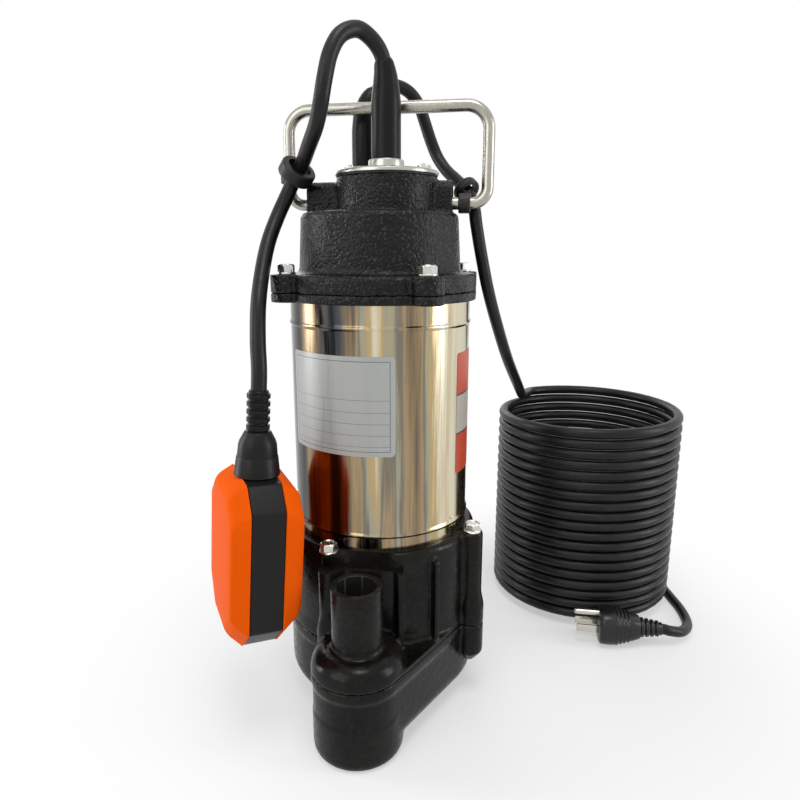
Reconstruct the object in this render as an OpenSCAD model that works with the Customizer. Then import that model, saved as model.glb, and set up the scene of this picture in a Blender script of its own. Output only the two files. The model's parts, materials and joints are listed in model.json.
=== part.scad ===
// Submersible sump pump with a tethered float switch and a coiled mains cord.
// Millimetres, +Z up. The origin is on the pump's axis, at the level it stands on.
// The discharge pipe is on the -Y side and the bar of the handle lies along X.

/* [Motor shell] */
// Outside diameter of the drawn steel shell
shell_d = 125; // [124.5:0.1:125.2]
// Height of the shell that shows between the body and the cap
shell_h = 161.5; // [158:0.5:170]
// Wall of the shell
shell_wall = 1.2; // [1:0.1:1.2]

/* [Pump body and base] */
// Height of the scroll-shaped base casing
base_h = 57; // [56:0.5:60]
// Diameter of the round part of the base casing
base_d = 141; // [140:0.5:144]
// Radius of the lobe under the discharge pipe
lobe_r = 30.5; // [30:0.5:32]
// Distance from the pump's axis to the discharge pipe
lobe_y = 88; // [87:0.5:90]
// Radius of the rounded lower edge of the base casing
base_round = 14; // [10:1:14]
// Height of the feet under the base casing
foot_h = 6; // [5.5:0.5:6]
// Height of the pump body
body_h = 69; // [68.5:0.5:72]
// Outside diameter of the pump body
body_d = 139; // [138:0.5:140]
// Angle of the first of the four bolt columns
column_angle = 72; // [70:1:74]
// Bolt circle radius of the columns
column_r = 73; // [72.5:0.5:74]

/* [Discharge] */
// Outside diameter of the discharge pipe
pipe_d = 33.3; // [32:0.1:34]
// Bore of the discharge pipe
pipe_bore = 25.4; // [24:0.1:26]
// Height of the mouth of the pipe above the floor
pipe_top = 114; // [110:1:118]

/* [Cap] */
// Diameter of the flange of the cap
flange_d = 133; // [132:0.5:134]
// Height of the flange of the cap
flange_h = 12; // [11:0.5:13]
// Height of the clamp ring below the flange
ring_h = 6; // [5.5:0.5:7]
// Diameter of the cap above its flange
cap_d = 109.4; // [108:0.2:111]
// Height of the cap above its flange
cap_h = 39.5; // [39:0.5:41]
// Diameter of the cable neck
neck_d = 68; // [67:0.5:70]
// Height of the cable neck
neck_h = 23; // [22:0.5:24]
// Offset of the neck and the handle along X
neck_shift = 5; // [4:0.5:5]
// Angle of the first of the four ears
ear_angle = 36; // [34:1:38]

/* [Handle] */
// Diameter of the wire
wire_d = 8; // [7.5:0.1:8]
// Width between the two upright legs
handle_w = 135; // [134:0.5:138]
// Height of the bar above the pivots
handle_rise = 61; // [60:0.5:66]
// Radius of the upper bends
handle_bend = 15; // [13:0.5:16]
// Radius of the lower bends
handle_turn = 10; // [9:0.5:11]

/* [Cords] */
// Diameter of the mains cord
power_d = 8.6; // [8:0.1:8.6]
// Diameter of the float cord
float_d = 9.8; // [9:0.1:9.8]
// Mean radius of the coil
coil_r = 77.7; // [76:0.1:79]
// Rise of the coil in each turn
coil_pitch = 9.05; // [9.05:0.01:9.2]
// Whole turns in the coil, which has a third of a turn more
coil_turns = 19; // [17:1:20]

/* [Float] */
// Thickness of the float across its two shells
float_t = 47; // [45:0.5:48]
// Width of the float
float_w = 70; // [67:0.5:71]
// Height of the float's body
float_h = 112; // [108:1:114]
// Width of the black band between the shells
band_t = 21; // [20:0.5:22]

/* [Motor] */
// Length of the stator and rotor packs
pack_h = 95; // [85:1:95]
// Bore of the stator
stator_bore = 62; // [60:0.5:64]
// Air gap between stator and rotor
air_gap = 0.5; // [0.4:0.1:0.8]
// Number of stator slots
slot_count = 24; // [18:6:24]
// Number of impeller blades
blade_count = 6; // [5:1:7]

/* [Hidden] */

$fn = 72;
fit = 0.06;
eps = 0.01;

body_z = base_h;
shell_z = body_z + body_h;
ring_z = shell_z + shell_h;
flange_z = ring_z + ring_h;
cap_z = flange_z + flange_h;
neck_z = cap_z + cap_h;
plate_z = neck_z + neck_h;
plate_h = 4;
plate_d = neck_d + 2;

shell_r = shell_d / 2;
base_r = base_d / 2;
body_r = body_d / 2;
wire_r = wire_d / 2;

// Heights along the shaft
shaft_bottom = foot_h + 11;
impeller_z = 20;
impeller_h = 26;
chamber_z = 14;
chamber_r = 53;
seal_plate_h = 8;
oil_z = body_z + seal_plate_h + 3;
oil_top = oil_z + 24;
oil_r = 42;
lower_bearing_z = oil_top + 6;
motor_floor = lower_bearing_z + 12;
shell_low = shell_z - 12;
pack_z = shell_z + 11;
bracket_z = ring_z - 24;
bracket_h = 20;
upper_bearing_z = bracket_z + 6;
shell_high = flange_z + 4;

// Bearings: bore radius, outer radius, width, ball radius
lower_bearing = [8.5, 20, 12, 3.35];
upper_bearing = [7.5, 17.5, 11, 2.95];
ball_gap = 0.05;
ball_count = 8;

column_low_r = 9.5;
column_top_r = 7.5;
column_angles = [for (k = [0:3]) column_angle + 90 * k];
ear_angles = [for (k = [0:3]) ear_angle + 90 * k];
ear_bolt_r = 67.5;
ear_r = 10.5;
bolt_hole_r = 3.3;
bolt_r = 3;

// Bosses of the handle, on both sides of the neck
boss_reach = 49.5;
boss_w = 15;
boss_top = 21;
pivot_z = neck_z + 6;
pivot_depth = 13;
grip_r = 6.5;

// Places of the two cables on the gland plate
float_gland = [8, -19];
power_gland = [-13, 17];
boot_base_r = 9.5;
float_boot_h = 48;
power_boot_h = 38;

// Rings of the two cable clips: centre and direction of the cable
float_ring = [-53, -15, 371];
float_ring_dir = [-0.60, 0.35, -0.72];
power_ring = [57.5, 18, 361];
power_ring_dir = [0.56, -0.55, -0.62];

// Route of the float cord, from its boot to the clip and on to the float
float_loop_route = [
    [7.5, -20, 430], [5.5, -22.5, 439], [0.5, -27, 446], [-7, -32.5, 450], [-15, -41, 445],
    [-20, -47, 434], [-23, -50, 420], [-26, -49, 407], [-31, -43, 395], [-40, -31, 384],
    [-47, -20, 377]
];
float_drop_route = [
    [-59.5, -15, 358], [-65, -23, 342], [-67.5, -36, 325], [-67, -51, 306], [-65, -65, 287],
    [-62.5, -75, 266], [-61, -79, 250]
];
// Route of the mains cord from its boot through its clip to the coil
power_rise_route = [
    [-10.5, 18.5, 421], [-3.8, 22.7, 429], [5.5, 28.5, 432], [14.5, 34.3, 429],
    [21.2, 38.8, 421], [25.3, 41.3, 410], [29.5, 42, 398], [34.8, 40.5, 386], [42, 34.5, 376],
    [50, 26.5, 368.5], [57.5, 18, 361], [63, 13, 350], [65.5, 12, 336], [69.5, 15, 315],
    [75, 22, 290], [82, 39, 264], [90, 64, 237], [99, 99, 211], [104, 138, 194], [107, 178, 184]
];
// Route of the mains cord from the coil to the plug
power_tail_route = [
    [249, 132, 4.5], [253, 108, 4.6], [252, 84, 5.4], [243, 66, 9], [232, 58.5, 13]
];

// Coil of the mains cord
coil_centre = [167, 156];
coil_start = 125;
coil_sweep = coil_turns * 360 + 120;
coil_low = power_d / 2;
coil_rings = 24;
coil_sides = 6;
coil_lead = power_d;

// Plug, lying on the floor and pointing along -X
plug_face_x = 173;
plug_y = 57;
plug_z = 15.2;
plug_l = 33;
relief_l = 18;
blade_l = 18;

// Float: place of its middle, lean about Y and turn about its own axis
float_place = [-69.5, -80, 127];
float_lean = 4.2;
float_turn = 34;
bevel_top = 14;
bevel_low = 18;
float_wall = 2.6;
float_neck_h = 29;
float_boot_l = 26;
ball_r = 7;
ball_low = -24;
lever_tilt = 10;
lever_l = 17;
lever_z = 5.2;

steel = "silver";
iron = [0.13, 0.13, 0.14];
rubber = [0.08, 0.08, 0.08];
orange = [0.92, 0.36, 0.04];

// ---------------------------------------------------------------- helpers

function unit(v) = v / norm(v);

// Points of an arc, in order
function arc_points(centre, radius, from, to, steps) =
    [for (i = [0:steps]) let (a = from + (to - from) * i / steps) centre + radius * [cos(a), sin(a)]];

// Outline of the scroll, drawn in by inset: the round part, then the lobe.
// The two arcs share a tangent on the right and meet in a corner on the left.
function scroll_points(inset) =
    let (
        round_r = base_r - inset,
        nose_r = lobe_r - inset,
        tangent = asin((nose_r - round_r) / lobe_y),
        corner = 270 - asin(nose_r / round_r)
    )
    concat(
        arc_points([0, 0], round_r, tangent, corner, 34),
        arc_points([0, -lobe_y], nose_r, 180, 360 + tangent, 18)
    );

// Solid through equal rings of points, with flat ends
module loft(rings) {
    n = len(rings[0]);
    last = len(rings) - 1;
    points = [for (ring = rings) each ring];
    walls = [
        for (i = [0:last - 1], j = [0:n - 1])
            let (a = i * n + j, b = i * n + (j + 1) % n, c = a + n, d = b + n)
            each [[a, c, b], [b, c, d]]
    ];
    bottom = [for (j = [0:n - 1]) j];
    top = [for (j = [n - 1:-1:0]) last * n + j];
    polyhedron(points = points, faces = concat([bottom], walls, [top]), convexity = 8);
}

// One point of a smooth curve through p1 and p2
function curve_point(p0, p1, p2, p3, t) =
    0.5 * (2 * p1 + (p2 - p0) * t + (2 * p0 - 5 * p1 + 4 * p2 - p3) * t * t
        + (3 * p1 - p0 - 3 * p2 + p3) * t * t * t);

// Curve through a route; its first and last points only set the end directions
function curve(route, steps) = concat(
    [for (i = [1:len(route) - 3], k = [0:steps - 1])
        curve_point(route[i - 1], route[i], route[i + 1], route[i + 2], k / steps)],
    [route[len(route) - 2]]
);

// Directions along a curve, whose ends take the directions given
function directions(line, first, last) =
    [for (i = [0:len(line) - 1])
        i == 0 ? unit(first) : i == len(line) - 1 ? unit(last) : unit(line[i + 1] - line[i - 1])];

function square_to(v, along) = unit(v - (v * along) * along);

// Side vectors carried along a curve without twist
function carried(dirs, start) =
    [for (i = 0, v = square_to(start, dirs[0]); i < len(dirs);
        i = i + 1, v = i < len(dirs) ? square_to(v, dirs[i]) : v) v];

// Round tube along a curve
module tube(line, first, last, radius, sides, side) {
    dirs = directions(line, first, last);
    across = carried(dirs, side);
    loft([for (i = [0:len(line) - 1]) let (u = across[i], w = cross(dirs[i], u))
        [for (k = [0:sides - 1]) let (a = 360 * k / sides) line[i] + radius * (u * cos(a) + w * sin(a))]]);
}

// Turns the children from +Z to a direction
module point_along(dir) {
    d = unit(dir);
    rotate([0, acos(d.z), atan2(d.y, d.x)]) children();
}

// Revolved ring from a closed profile
module revolve(profile) {
    rotate_extrude($fn = 96) polygon(profile);
}

module tube_ring(outer, inner, height) {
    difference() {
        cylinder(r = outer, h = height, $fn = 96);
        translate([0, 0, -1]) cylinder(r = inner, h = height + 2, $fn = 96);
    }
}

module hex(across, height) {
    cylinder(r = across / 2 / cos(30), h = height, $fn = 6);
}

module at_columns() {
    for (a = column_angles) rotate([0, 0, a]) translate([column_r, 0, 0]) children();
}

module at_ears() {
    for (a = ear_angles) rotate([0, 0, a]) translate([ear_bolt_r, 0, 0]) children();
}

// ---------------------------------------------------------------- base and body

// Stock above and below the joint face between casing and body, faced off flat
joint_over = 2;
feet = [[46, 36], [-46, 36]];
foot_r = 11;
// Radius of the lobe where its own foot ends
lobe_foot_r = lobe_r - 0.65;
strainer_r = 46;
strainer_h = 3;

// Scroll casing: lofted outside, round impeller chamber and a passage to the lobe
module base_casing() color(iron) {
    round_steps = 6;
    rings = concat(
        [for (i = [0:round_steps]) let (a = 90 * i / round_steps)
            [foot_h + base_round * (1 - cos(a)), 1 + base_round * (1 - sin(a))]],
        [[base_h - 8, 1], [base_h - 7, 0], [base_h + joint_over, 0]]
    );
    difference() {
        union() {
            loft([for (r = rings) [for (p = scroll_points(r[1])) [p.x, p.y, r[0]]]]);
            translate([0, -lobe_y, 0]) revolve([
                [0, foot_h], [lobe_foot_r, foot_h], [lobe_r - 0.5, 8], [lobe_r - 0.5, 30], [0, 30]
            ]);
            for (f = feet) translate([f.x, f.y, foot_h]) cylinder(r = foot_r, h = 4);
            at_columns() {
                translate([0, 0, 34]) cylinder(r = column_low_r, h = base_h + joint_over - 34);
                translate([0, 0, 26]) cylinder(r1 = 3, r2 = column_low_r, h = 8 + eps, $fn = 48);
            }
        }
        translate([0, 0, chamber_z]) cylinder(r = chamber_r, h = base_h, $fn = 96);
        translate([14, -lobe_y, chamber_z + 4]) cube([26 - 12, lobe_y - 20, base_h]);
        translate([-2, -lobe_y, chamber_z + 4]) cube([17, lobe_y - 40, base_h]);
        translate([0, -lobe_y, chamber_z + 4]) cylinder(r = 19, h = base_h);
        translate([0, 0, foot_h + strainer_h - eps]) cylinder(r = 21, h = 20);
        cylinder(r = strainer_r + 0.3, h = foot_h + strainer_h, $fn = 96);
        for (a = [90, 210, 330]) rotate([0, 0, a]) translate([36, 0, 0]) cylinder(r = 2, h = 13);
        at_columns() translate([0, 0, base_h - 22]) cylinder(r = bolt_r, h = 30);
        translate([-150, -150, base_h]) cube([300, 300, 10]);
    }
}

// Feet under the casing: the lobe's wide one in front and two round ones behind
module casing_feet() color(iron) {
    translate([0, -lobe_y, 0]) revolve([
        [0, 0], [lobe_r - 5, 0], [lobe_r - 2.2, 1.2], [lobe_r - 0.8, 4], [lobe_foot_r, foot_h],
        [0, foot_h]
    ]);
    for (f = feet) translate([f.x, f.y, 0]) cylinder(r = foot_r, h = foot_h);
}

module strainer_slot(r, angle) {
    for (side = [0, 180]) rotate([0, 0, side - angle / 2])
        rotate_extrude(angle = angle, $fn = 96) translate([r - 1.7, -1]) square([3.4, strainer_h + 2]);
}

// Slotted plate over the suction opening
module inlet_strainer() color([0.2, 0.2, 0.2]) {
    translate([0, 0, foot_h]) difference() {
        cylinder(r = strainer_r, h = strainer_h, $fn = 96);
        strainer_slot(6, 120);
        strainer_slot(12, 140);
        strainer_slot(18, 150);
        for (a = [90, 210, 330]) rotate([0, 0, a]) translate([36, 0, -1])
            cylinder(r = 2.2, h = strainer_h + 2);
    }
}

module strainer_screws() color(steel) {
    for (a = [90, 210, 330]) rotate([0, 0, a]) translate([36, 0, 0]) {
        translate([0, 0, foot_h - 2.4]) cylinder(r = 3.6, h = 2.4);
        translate([0, 0, foot_h - eps]) cylinder(r = 2, h = 7);
    }
}

// Stiffening web on the outside of the body
module body_web(angle, reach, low, high) {
    rotate([0, 0, angle - 90]) translate([body_r - 4, -2.2, low]) cube([reach + 4, 4.4, high - low]);
}

// Cast body: motor seat above, oil chamber below, discharge pipe in front
module pump_body() color(iron) {
    dome_steps = 6;
    dome_top = 15;
    difference() {
        union() {
            translate([0, 0, body_z - joint_over]) linear_extrude(joint_over + 3) polygon(scroll_points(0));
            revolve([
                [0, body_z - joint_over], [body_r + 0.6, body_z - joint_over],
                [body_r + 0.6, body_z + 6], [body_r, body_z + 9],
                [body_r - 0.6, shell_z - 3], [body_r - 2, shell_z - 0.8], [body_r - 4, shell_z],
                [0, shell_z]
            ]);
            at_columns() {
                translate([0, 0, body_z - joint_over]) cylinder(r = column_low_r, h = 14 + joint_over);
                translate([0, 0, body_z + 14 - eps])
                    cylinder(r1 = column_low_r, r2 = column_top_r, h = 10, $fn = 72);
                translate([0, 0, body_z + 20]) cylinder(r = column_top_r, h = body_h - 19);
                translate([-12, -column_top_r, body_z + 2]) cube([12, 2 * column_top_r, body_h - 4]);
            }
            translate([0, -lobe_y, body_z]) {
                revolve(concat(
                    [[0, 0]],
                    [for (i = [0:dome_steps]) let (a = 90 * i / dome_steps)
                        [pipe_d / 2 + (lobe_r - pipe_d / 2 - 0.4) * cos(a), 3 + (dome_top - 3) * sin(a)]],
                    [[0, dome_top]]
                ));
                cylinder(d = pipe_d, h = pipe_top - body_z, $fn = 96);
                translate([-6, 0, 3]) cube([12, lobe_y - body_r + 6, dome_top - 3]);
            }
            body_web(20, 6, body_z + 3, shell_z - 8);
            body_web(41, 5, body_z + 3, shell_z - 8);
            rotate([0, 0, 57 - 90]) rotate_extrude(angle = 20, $fn = 96)
                translate([body_r - 3, body_z + 8]) square([6, 40]);
        }
        translate([0, -lobe_y, body_z - 1]) cylinder(d = pipe_bore, h = pipe_top, $fn = 96);
        translate([0, 0, shell_low]) cylinder(r = shell_r + 0.2, h = 20, $fn = 96);
        translate([0, 0, motor_floor]) cylinder(r = 58, h = 40, $fn = 96);
        translate([0, 0, lower_bearing_z]) cylinder(r = lower_bearing[1], h = 40);
        translate([0, 0, lower_bearing_z - 3]) cylinder(r = 14, h = 40);
        translate([0, 0, oil_top - 6]) cylinder(r = 15, h = 9);
        translate([0, 0, body_z + seal_plate_h]) cylinder(r = oil_r, h = oil_top - 6 - body_z - seal_plate_h);
        translate([0, 0, body_z - 1]) cylinder(r = 50, h = seal_plate_h + 1, $fn = 96);
        at_columns() translate([0, 0, body_z - 1]) cylinder(r = bolt_hole_r, h = body_h + 10);
        translate([-150, -150, body_z - 10]) cube([300, 300, 10]);
    }
}

// Round cord seal between the base casing and the body
module casing_seal() color(rubber) {
    translate([0, 0, body_z - 1.5]) intersection() {
        rotate_extrude($fn = 96) translate([chamber_r - 1.6, 0]) circle(r = 1.5, $fn = 24);
        translate([0, 0, -1.5]) cylinder(r = 60, h = 3);
    }
}

module body_bolts() color(steel) {
    at_columns() {
        translate([0, 0, shell_z + 1]) {
            cylinder(r = 6.2, h = 1.2);
            translate([0, 0, 1.2 - eps]) hex(10, 5);
        }
        translate([0, 0, base_h - 20]) cylinder(r = bolt_r, h = shell_z + 2 - base_h + 20);
    }
}

// Cover of the oil chamber, with the seat of the face seal
module seal_plate() color([0.3, 0.3, 0.32]) {
    translate([0, 0, body_z]) difference() {
        union() {
            cylinder(r = 49.8, h = seal_plate_h, $fn = 96);
            translate([0, 0, seal_plate_h - eps]) cylinder(r = 20, h = 4);
        }
        translate([0, 0, -1]) cylinder(r = 9, h = 20);
        translate([0, 0, 4]) cylinder(r = 13, h = 20);
    }
}

module seal_stationary_ring() color([0.85, 0.83, 0.78]) {
    translate([0, 0, body_z + 4]) tube_ring(13, 9, 8);
}

module oil_seal() color(rubber) {
    translate([0, 0, oil_top - 6]) difference() {
        cylinder(r = 15, h = 7);
        translate([0, 0, -1]) cylinder(r = 11, h = 6);
        translate([0, 0, -1]) cylinder(r = 8.8, h = 10);
    }
}

// ---------------------------------------------------------------- bearings

function pitch_r(b) = (b[0] + b[1]) / 2;

// Ring between two radii, grooved for the balls of a bearing
module bearing_ring(b, inner, outer) {
    difference() {
        translate([0, 0, -b[2] / 2]) tube_ring(outer, inner, b[2]);
        rotate_extrude($fn = 96) translate([pitch_r(b), 0]) circle(r = b[3] + ball_gap, $fn = 48);
    }
}

module inner_ring(b) bearing_ring(b, b[0], pitch_r(b) - b[3] * 0.55);
module outer_ring(b) bearing_ring(b, pitch_r(b) + b[3] * 0.55, b[1]);

// Balls held by a flat cage
module balls(b) {
    for (k = [0:ball_count - 1]) rotate([0, 0, 360 * k / ball_count])
        translate([pitch_r(b), 0, 0]) sphere(r = b[3], $fn = 32);
    translate([0, 0, -0.7]) tube_ring(pitch_r(b) + 1.2, pitch_r(b) - 1.2, 1.4);
}

module lower_bearing_place() translate([0, 0, lower_bearing_z + lower_bearing[2] / 2]) children();
module upper_bearing_place() translate([0, 0, upper_bearing_z + upper_bearing[2] / 2]) children();

module lower_bearing_outer() color(steel) lower_bearing_place() outer_ring(lower_bearing);
module lower_bearing_inner() color(steel) lower_bearing_place() inner_ring(lower_bearing);
module lower_bearing_balls() color(steel) lower_bearing_place() balls(lower_bearing);
module upper_bearing_outer() color(steel) upper_bearing_place() outer_ring(upper_bearing);
module upper_bearing_inner() color(steel) upper_bearing_place() inner_ring(upper_bearing);
module upper_bearing_balls() color(steel) upper_bearing_place() balls(upper_bearing);

// ---------------------------------------------------------------- motor

// Drawn shell with a bead near each end
module motor_shell() color([0.8, 0.76, 0.7]) {
    inner = shell_r - shell_wall;
    bead = 0.9;
    low = shell_z + 10;
    high = ring_z - 14.5;
    revolve([
        [inner, shell_low], [shell_r, shell_low], [shell_r, low - 2], [shell_r + bead, low - 0.6],
        [shell_r + bead, low + 0.6], [shell_r, low + 2], [shell_r, high - 2],
        [shell_r + bead, high - 0.6], [shell_r + bead, high + 0.6], [shell_r, high + 2],
        [shell_r, shell_high], [inner, shell_high]
    ]);
}

// Clamp ring on the shell that the cap is bolted to
module shell_top_ring() color(iron) {
    translate([0, 0, ring_z]) difference() {
        union() {
            cylinder(d = flange_d, h = ring_h, $fn = 96);
            at_ears() cylinder(r = ear_r, h = ring_h);
        }
        translate([0, 0, -1]) cylinder(r = shell_r + 0.1, h = ring_h + 2, $fn = 96);
        at_ears() translate([0, 0, -1]) cylinder(r = bolt_r, h = ring_h + 2);
    }
}

// Round cord seals on the inside of the shell's two ends
module shell_seals() color(rubber) {
    for (z = [shell_low + 3, shell_high - 3]) translate([0, 0, z])
        rotate_extrude($fn = 96) translate([shell_r - shell_wall - 1.4, 0]) circle(r = 1.3, $fn = 24);
}

slot_w = 4;
slot_in = 34;
slot_out = 50;

module stator_core() color([0.45, 0.45, 0.48]) {
    translate([0, 0, pack_z]) difference() {
        cylinder(r = shell_r - shell_wall - 0.1, h = pack_h, $fn = 96);
        translate([0, 0, -1]) cylinder(d = stator_bore, h = pack_h + 2, $fn = 96);
        for (k = [0:slot_count - 1]) rotate([0, 0, 360 * k / slot_count])
            translate([slot_in, -slot_w / 2, -1]) cube([slot_out - slot_in, slot_w, pack_h + 2]);
    }
}

// Copper in the slots and the two rings of end turns
module stator_windings() color([0.72, 0.38, 0.16]) {
    end_turn = [
        [slot_in + 1, 0], [slot_out + 4, 0], [slot_out + 4, 7], [slot_out + 1, 10.5],
        [slot_in + 4, 10.5], [slot_in + 1, 7]
    ];
    translate([0, 0, pack_z + pack_h + 1]) revolve(end_turn);
    translate([0, 0, pack_z - 1]) mirror([0, 0, 1]) revolve(end_turn);
    for (k = [0:slot_count - 1]) rotate([0, 0, 360 * k / slot_count])
        translate([slot_in + 2, 0.2 - slot_w / 2, pack_z - 1.5])
            cube([slot_out - slot_in - 3, slot_w - 0.4, pack_h + 3]);
}

// Spider that holds the upper bearing inside the shell
module bearing_bracket() color([0.7, 0.7, 0.72]) {
    rim = shell_r - shell_wall - 0.1;
    translate([0, 0, bracket_z]) difference() {
        union() {
            tube_ring(rim, rim - 6, bracket_h);
            translate([0, 0, bracket_h - 8]) cylinder(r = rim - 3, h = 8, $fn = 96);
            cylinder(r = upper_bearing[1] + 5, h = bracket_h);
        }
        translate([0, 0, -1]) cylinder(r = 12, h = 30);
        translate([0, 0, -1]) cylinder(r = upper_bearing[1], h = 7 + upper_bearing[2], $fn = 96);
        for (k = [0:5]) rotate([0, 0, 60 * k]) translate([39, 0, 9]) cylinder(r = 9, h = bracket_h);
    }
}

// ---------------------------------------------------------------- rotor

module shaft() color([0.78, 0.78, 0.8]) {
    top = upper_bearing_z + upper_bearing[2] + 3;
    revolve([
        [0, shaft_bottom], [4.2, shaft_bottom], [5, shaft_bottom + 1], [5, impeller_z + 6],
        [6, impeller_z + 6], [6, impeller_z + impeller_h], [8.5, impeller_z + impeller_h],
        [8.5, motor_floor + 4], [12, motor_floor + 4], [12, upper_bearing_z - 2], [7.5, upper_bearing_z - 2],
        [7.5, top - 1], [6.5, top], [0, top]
    ]);
}

// Rotor pack with its two short-circuit rings
module rotor_core() color([0.55, 0.55, 0.58]) {
    r = stator_bore / 2 - air_gap;
    revolve([
        [12, pack_z - 4], [r - 8, pack_z - 4], [r - 4, pack_z - 8], [r - 1, pack_z - 8],
        [r - 1, pack_z], [r, pack_z], [r, pack_z + pack_h], [r - 1, pack_z + pack_h],
        [r - 1, pack_z + pack_h + 8], [r - 4, pack_z + pack_h + 8], [r - 8, pack_z + pack_h + 4],
        [12, pack_z + pack_h + 4]
    ]);
}

// Open vortex impeller: back plate, hub and curved blades
module impeller() color([0.24, 0.24, 0.25]) {
    outer = chamber_r - 5;
    plate = 5;
    arc_r = 30;
    arc_centre = [43.6, 9.1];
    arc_start = 116;
    arc_sweep = 82;
    translate([0, 0, impeller_z]) difference() {
        union() {
            translate([0, 0, impeller_h - plate]) cylinder(r = outer, h = plate, $fn = 96);
            translate([0, 0, 6]) cylinder(r1 = 11, r2 = 14, h = impeller_h - 6, $fn = 72);
            intersection() {
                translate([0, 0, 4]) cylinder(r = outer - 1, h = impeller_h - plate, $fn = 96);
                for (k = [0:blade_count - 1]) rotate([0, 0, 360 * k / blade_count])
                    translate([arc_centre.x, arc_centre.y, 4]) rotate([0, 0, arc_start])
                        rotate_extrude(angle = arc_sweep, $fn = 96) translate([arc_r, 0])
                            square([3.2, impeller_h - plate]);
            }
        }
        translate([0, 0, -1]) cylinder(r = 6, h = impeller_h + 2);
        translate([4, -2, 6]) cube([4.4, 4, impeller_h]);
    }
}

module impeller_key() color(steel) {
    translate([6, -1.95, impeller_z + 8]) cube([2.3, 3.9, 14]);
}

module impeller_nut() color(steel) {
    translate([0, 0, impeller_z - 1]) difference() {
        union() {
            hex(16, 6);
            translate([0, 0, 5.5]) cylinder(r = 9, h = 1.4);
        }
        translate([0, 0, -1]) cylinder(r = 5, h = 10);
    }
}

module seal_rotating_ring() color([0.2, 0.2, 0.22]) {
    translate([0, 0, body_z + 12.3]) tube_ring(13, 8.5, 6);
}

// Coil spring of the face seal, one plain ring round the shaft
module seal_spring() color(steel) {
    translate([0, 0, body_z + 18.3]) difference() {
        cylinder(r = 12, h = 7);
        translate([0, 0, -1]) cylinder(r = 8.5, h = 9);
        for (z = [1.6, 4.2]) translate([0, 0, z]) tube_ring(13, 10, 1.2);
    }
}

// ---------------------------------------------------------------- cap

// Ear of the cap, rounded towards the flange
module cap_ear() {
    cylinder(r = ear_r, h = flange_h);
    translate([-14, -ear_r, 0]) cube([14, 2 * ear_r, flange_h]);
}

// Cast cap: flange with four ears, drafted drum, offset neck and handle bosses
module top_cap() color(iron) {
    shift = [neck_shift, 0, 0];
    difference() {
        union() {
            translate([0, 0, flange_z]) revolve([
                [0, 0], [flange_d / 2, 0], [flange_d / 2, flange_h - 2], [flange_d / 2 - 2, flange_h],
                [0, flange_h]
            ]);
            at_ears() translate([0, 0, flange_z]) cap_ear();
            translate([0, 0, cap_z - eps]) revolve([
                [0, 0], [cap_d / 2 + 3.5, 0], [cap_d / 2 + 1.4, 1.2], [cap_d / 2 + 0.8, 3.5],
                [cap_d / 2 - 1, cap_h - 3], [cap_d / 2 - 2, cap_h - 0.9], [cap_d / 2 - 4.5, cap_h], [0, cap_h]
            ]);
            translate(shift) translate([0, 0, neck_z - eps]) cylinder(d = neck_d, h = neck_h, $fn = 96);
            translate([-boss_reach, -boss_w / 2, neck_z - 2])
                cube([2 * boss_reach, boss_w, boss_top - boss_w / 2 + 2]);
            translate([-boss_reach, 0, neck_z + boss_top - boss_w / 2]) rotate([0, 90, 0])
                cylinder(d = boss_w, h = 2 * boss_reach);
        }
        translate([0, 0, flange_z - 1]) cylinder(r = shell_r + 0.2, h = 5.2, $fn = 96);
        translate([0, 0, flange_z - 1]) cylinder(r = 48, h = cap_z + cap_h - 6 - flange_z + 1, $fn = 96);
        translate(shift) translate([0, 0, neck_z - 20]) cylinder(r = 25, h = 50, $fn = 96);
        at_ears() translate([0, 0, flange_z - 1]) cylinder(r = bolt_hole_r, h = flange_h + 2);
        for (s = [-1, 1]) translate([s * boss_reach, 0, pivot_z]) rotate([0, s * 90, 0])
            translate([0, 0, -pivot_depth]) cylinder(r = wire_r + fit, h = pivot_depth + 1);
        for (s = [-1, 1]) translate([neck_shift + s * 25, 0, plate_z - 12]) cylinder(r = 2.5, h = 20);
    }
}

module cap_bolts() color(steel) {
    at_ears() {
        translate([0, 0, cap_z]) {
            cylinder(r = 6.2, h = 1.2);
            translate([0, 0, 1.2 - eps]) hex(10, 5);
        }
        translate([0, 0, ring_z + 0.5]) cylinder(r = bolt_r, h = cap_z + 1 - ring_z - 0.5);
    }
}

module gland_gasket() color(rubber) {
    translate([neck_shift, 0, plate_z]) difference() {
        cylinder(r = neck_d / 2, h = 1, $fn = 96);
        translate([0, 0, -1]) cylinder(r = 23, h = 3);
        for (s = [-1, 1]) translate([s * 25, 0, -1]) cylinder(r = 2.6, h = 3);
        at_gland_holes();
    }
}

// Openings for the two cables, in the frame of the neck
module at_gland_holes() {
    for (g = [float_gland, power_gland])
        translate([g.x - neck_shift, g.y, -5]) cylinder(r = boot_base_r - 3.1, h = 20);
}

// Steel plate that clamps the two cable boots, with a collar round each
module gland_plate() color(steel) {
    translate([neck_shift, 0, plate_z + 1]) difference() {
        union() {
            revolve([[0, 0], [plate_d / 2, 0], [plate_d / 2, plate_h - 2.5], [plate_d / 2 - 1.2, plate_h - 1],
                [0, plate_h - 1]]);
            for (g = [float_gland, power_gland]) translate([g.x - neck_shift, g.y, 0])
                cylinder(r = boot_base_r + 2, h = 8, $fn = 72);
        }
        for (g = [float_gland, power_gland]) translate([g.x - neck_shift, g.y, 0]) {
            translate([0, 0, -1]) cylinder(r = boot_base_r - 3, h = 20);
            translate([0, 0, 3]) cylinder(r = boot_base_r, h = 20);
        }
        for (s = [-1, 1]) translate([s * 25, 0, -1]) cylinder(r = 2.7, h = 10);
    }
}

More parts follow.
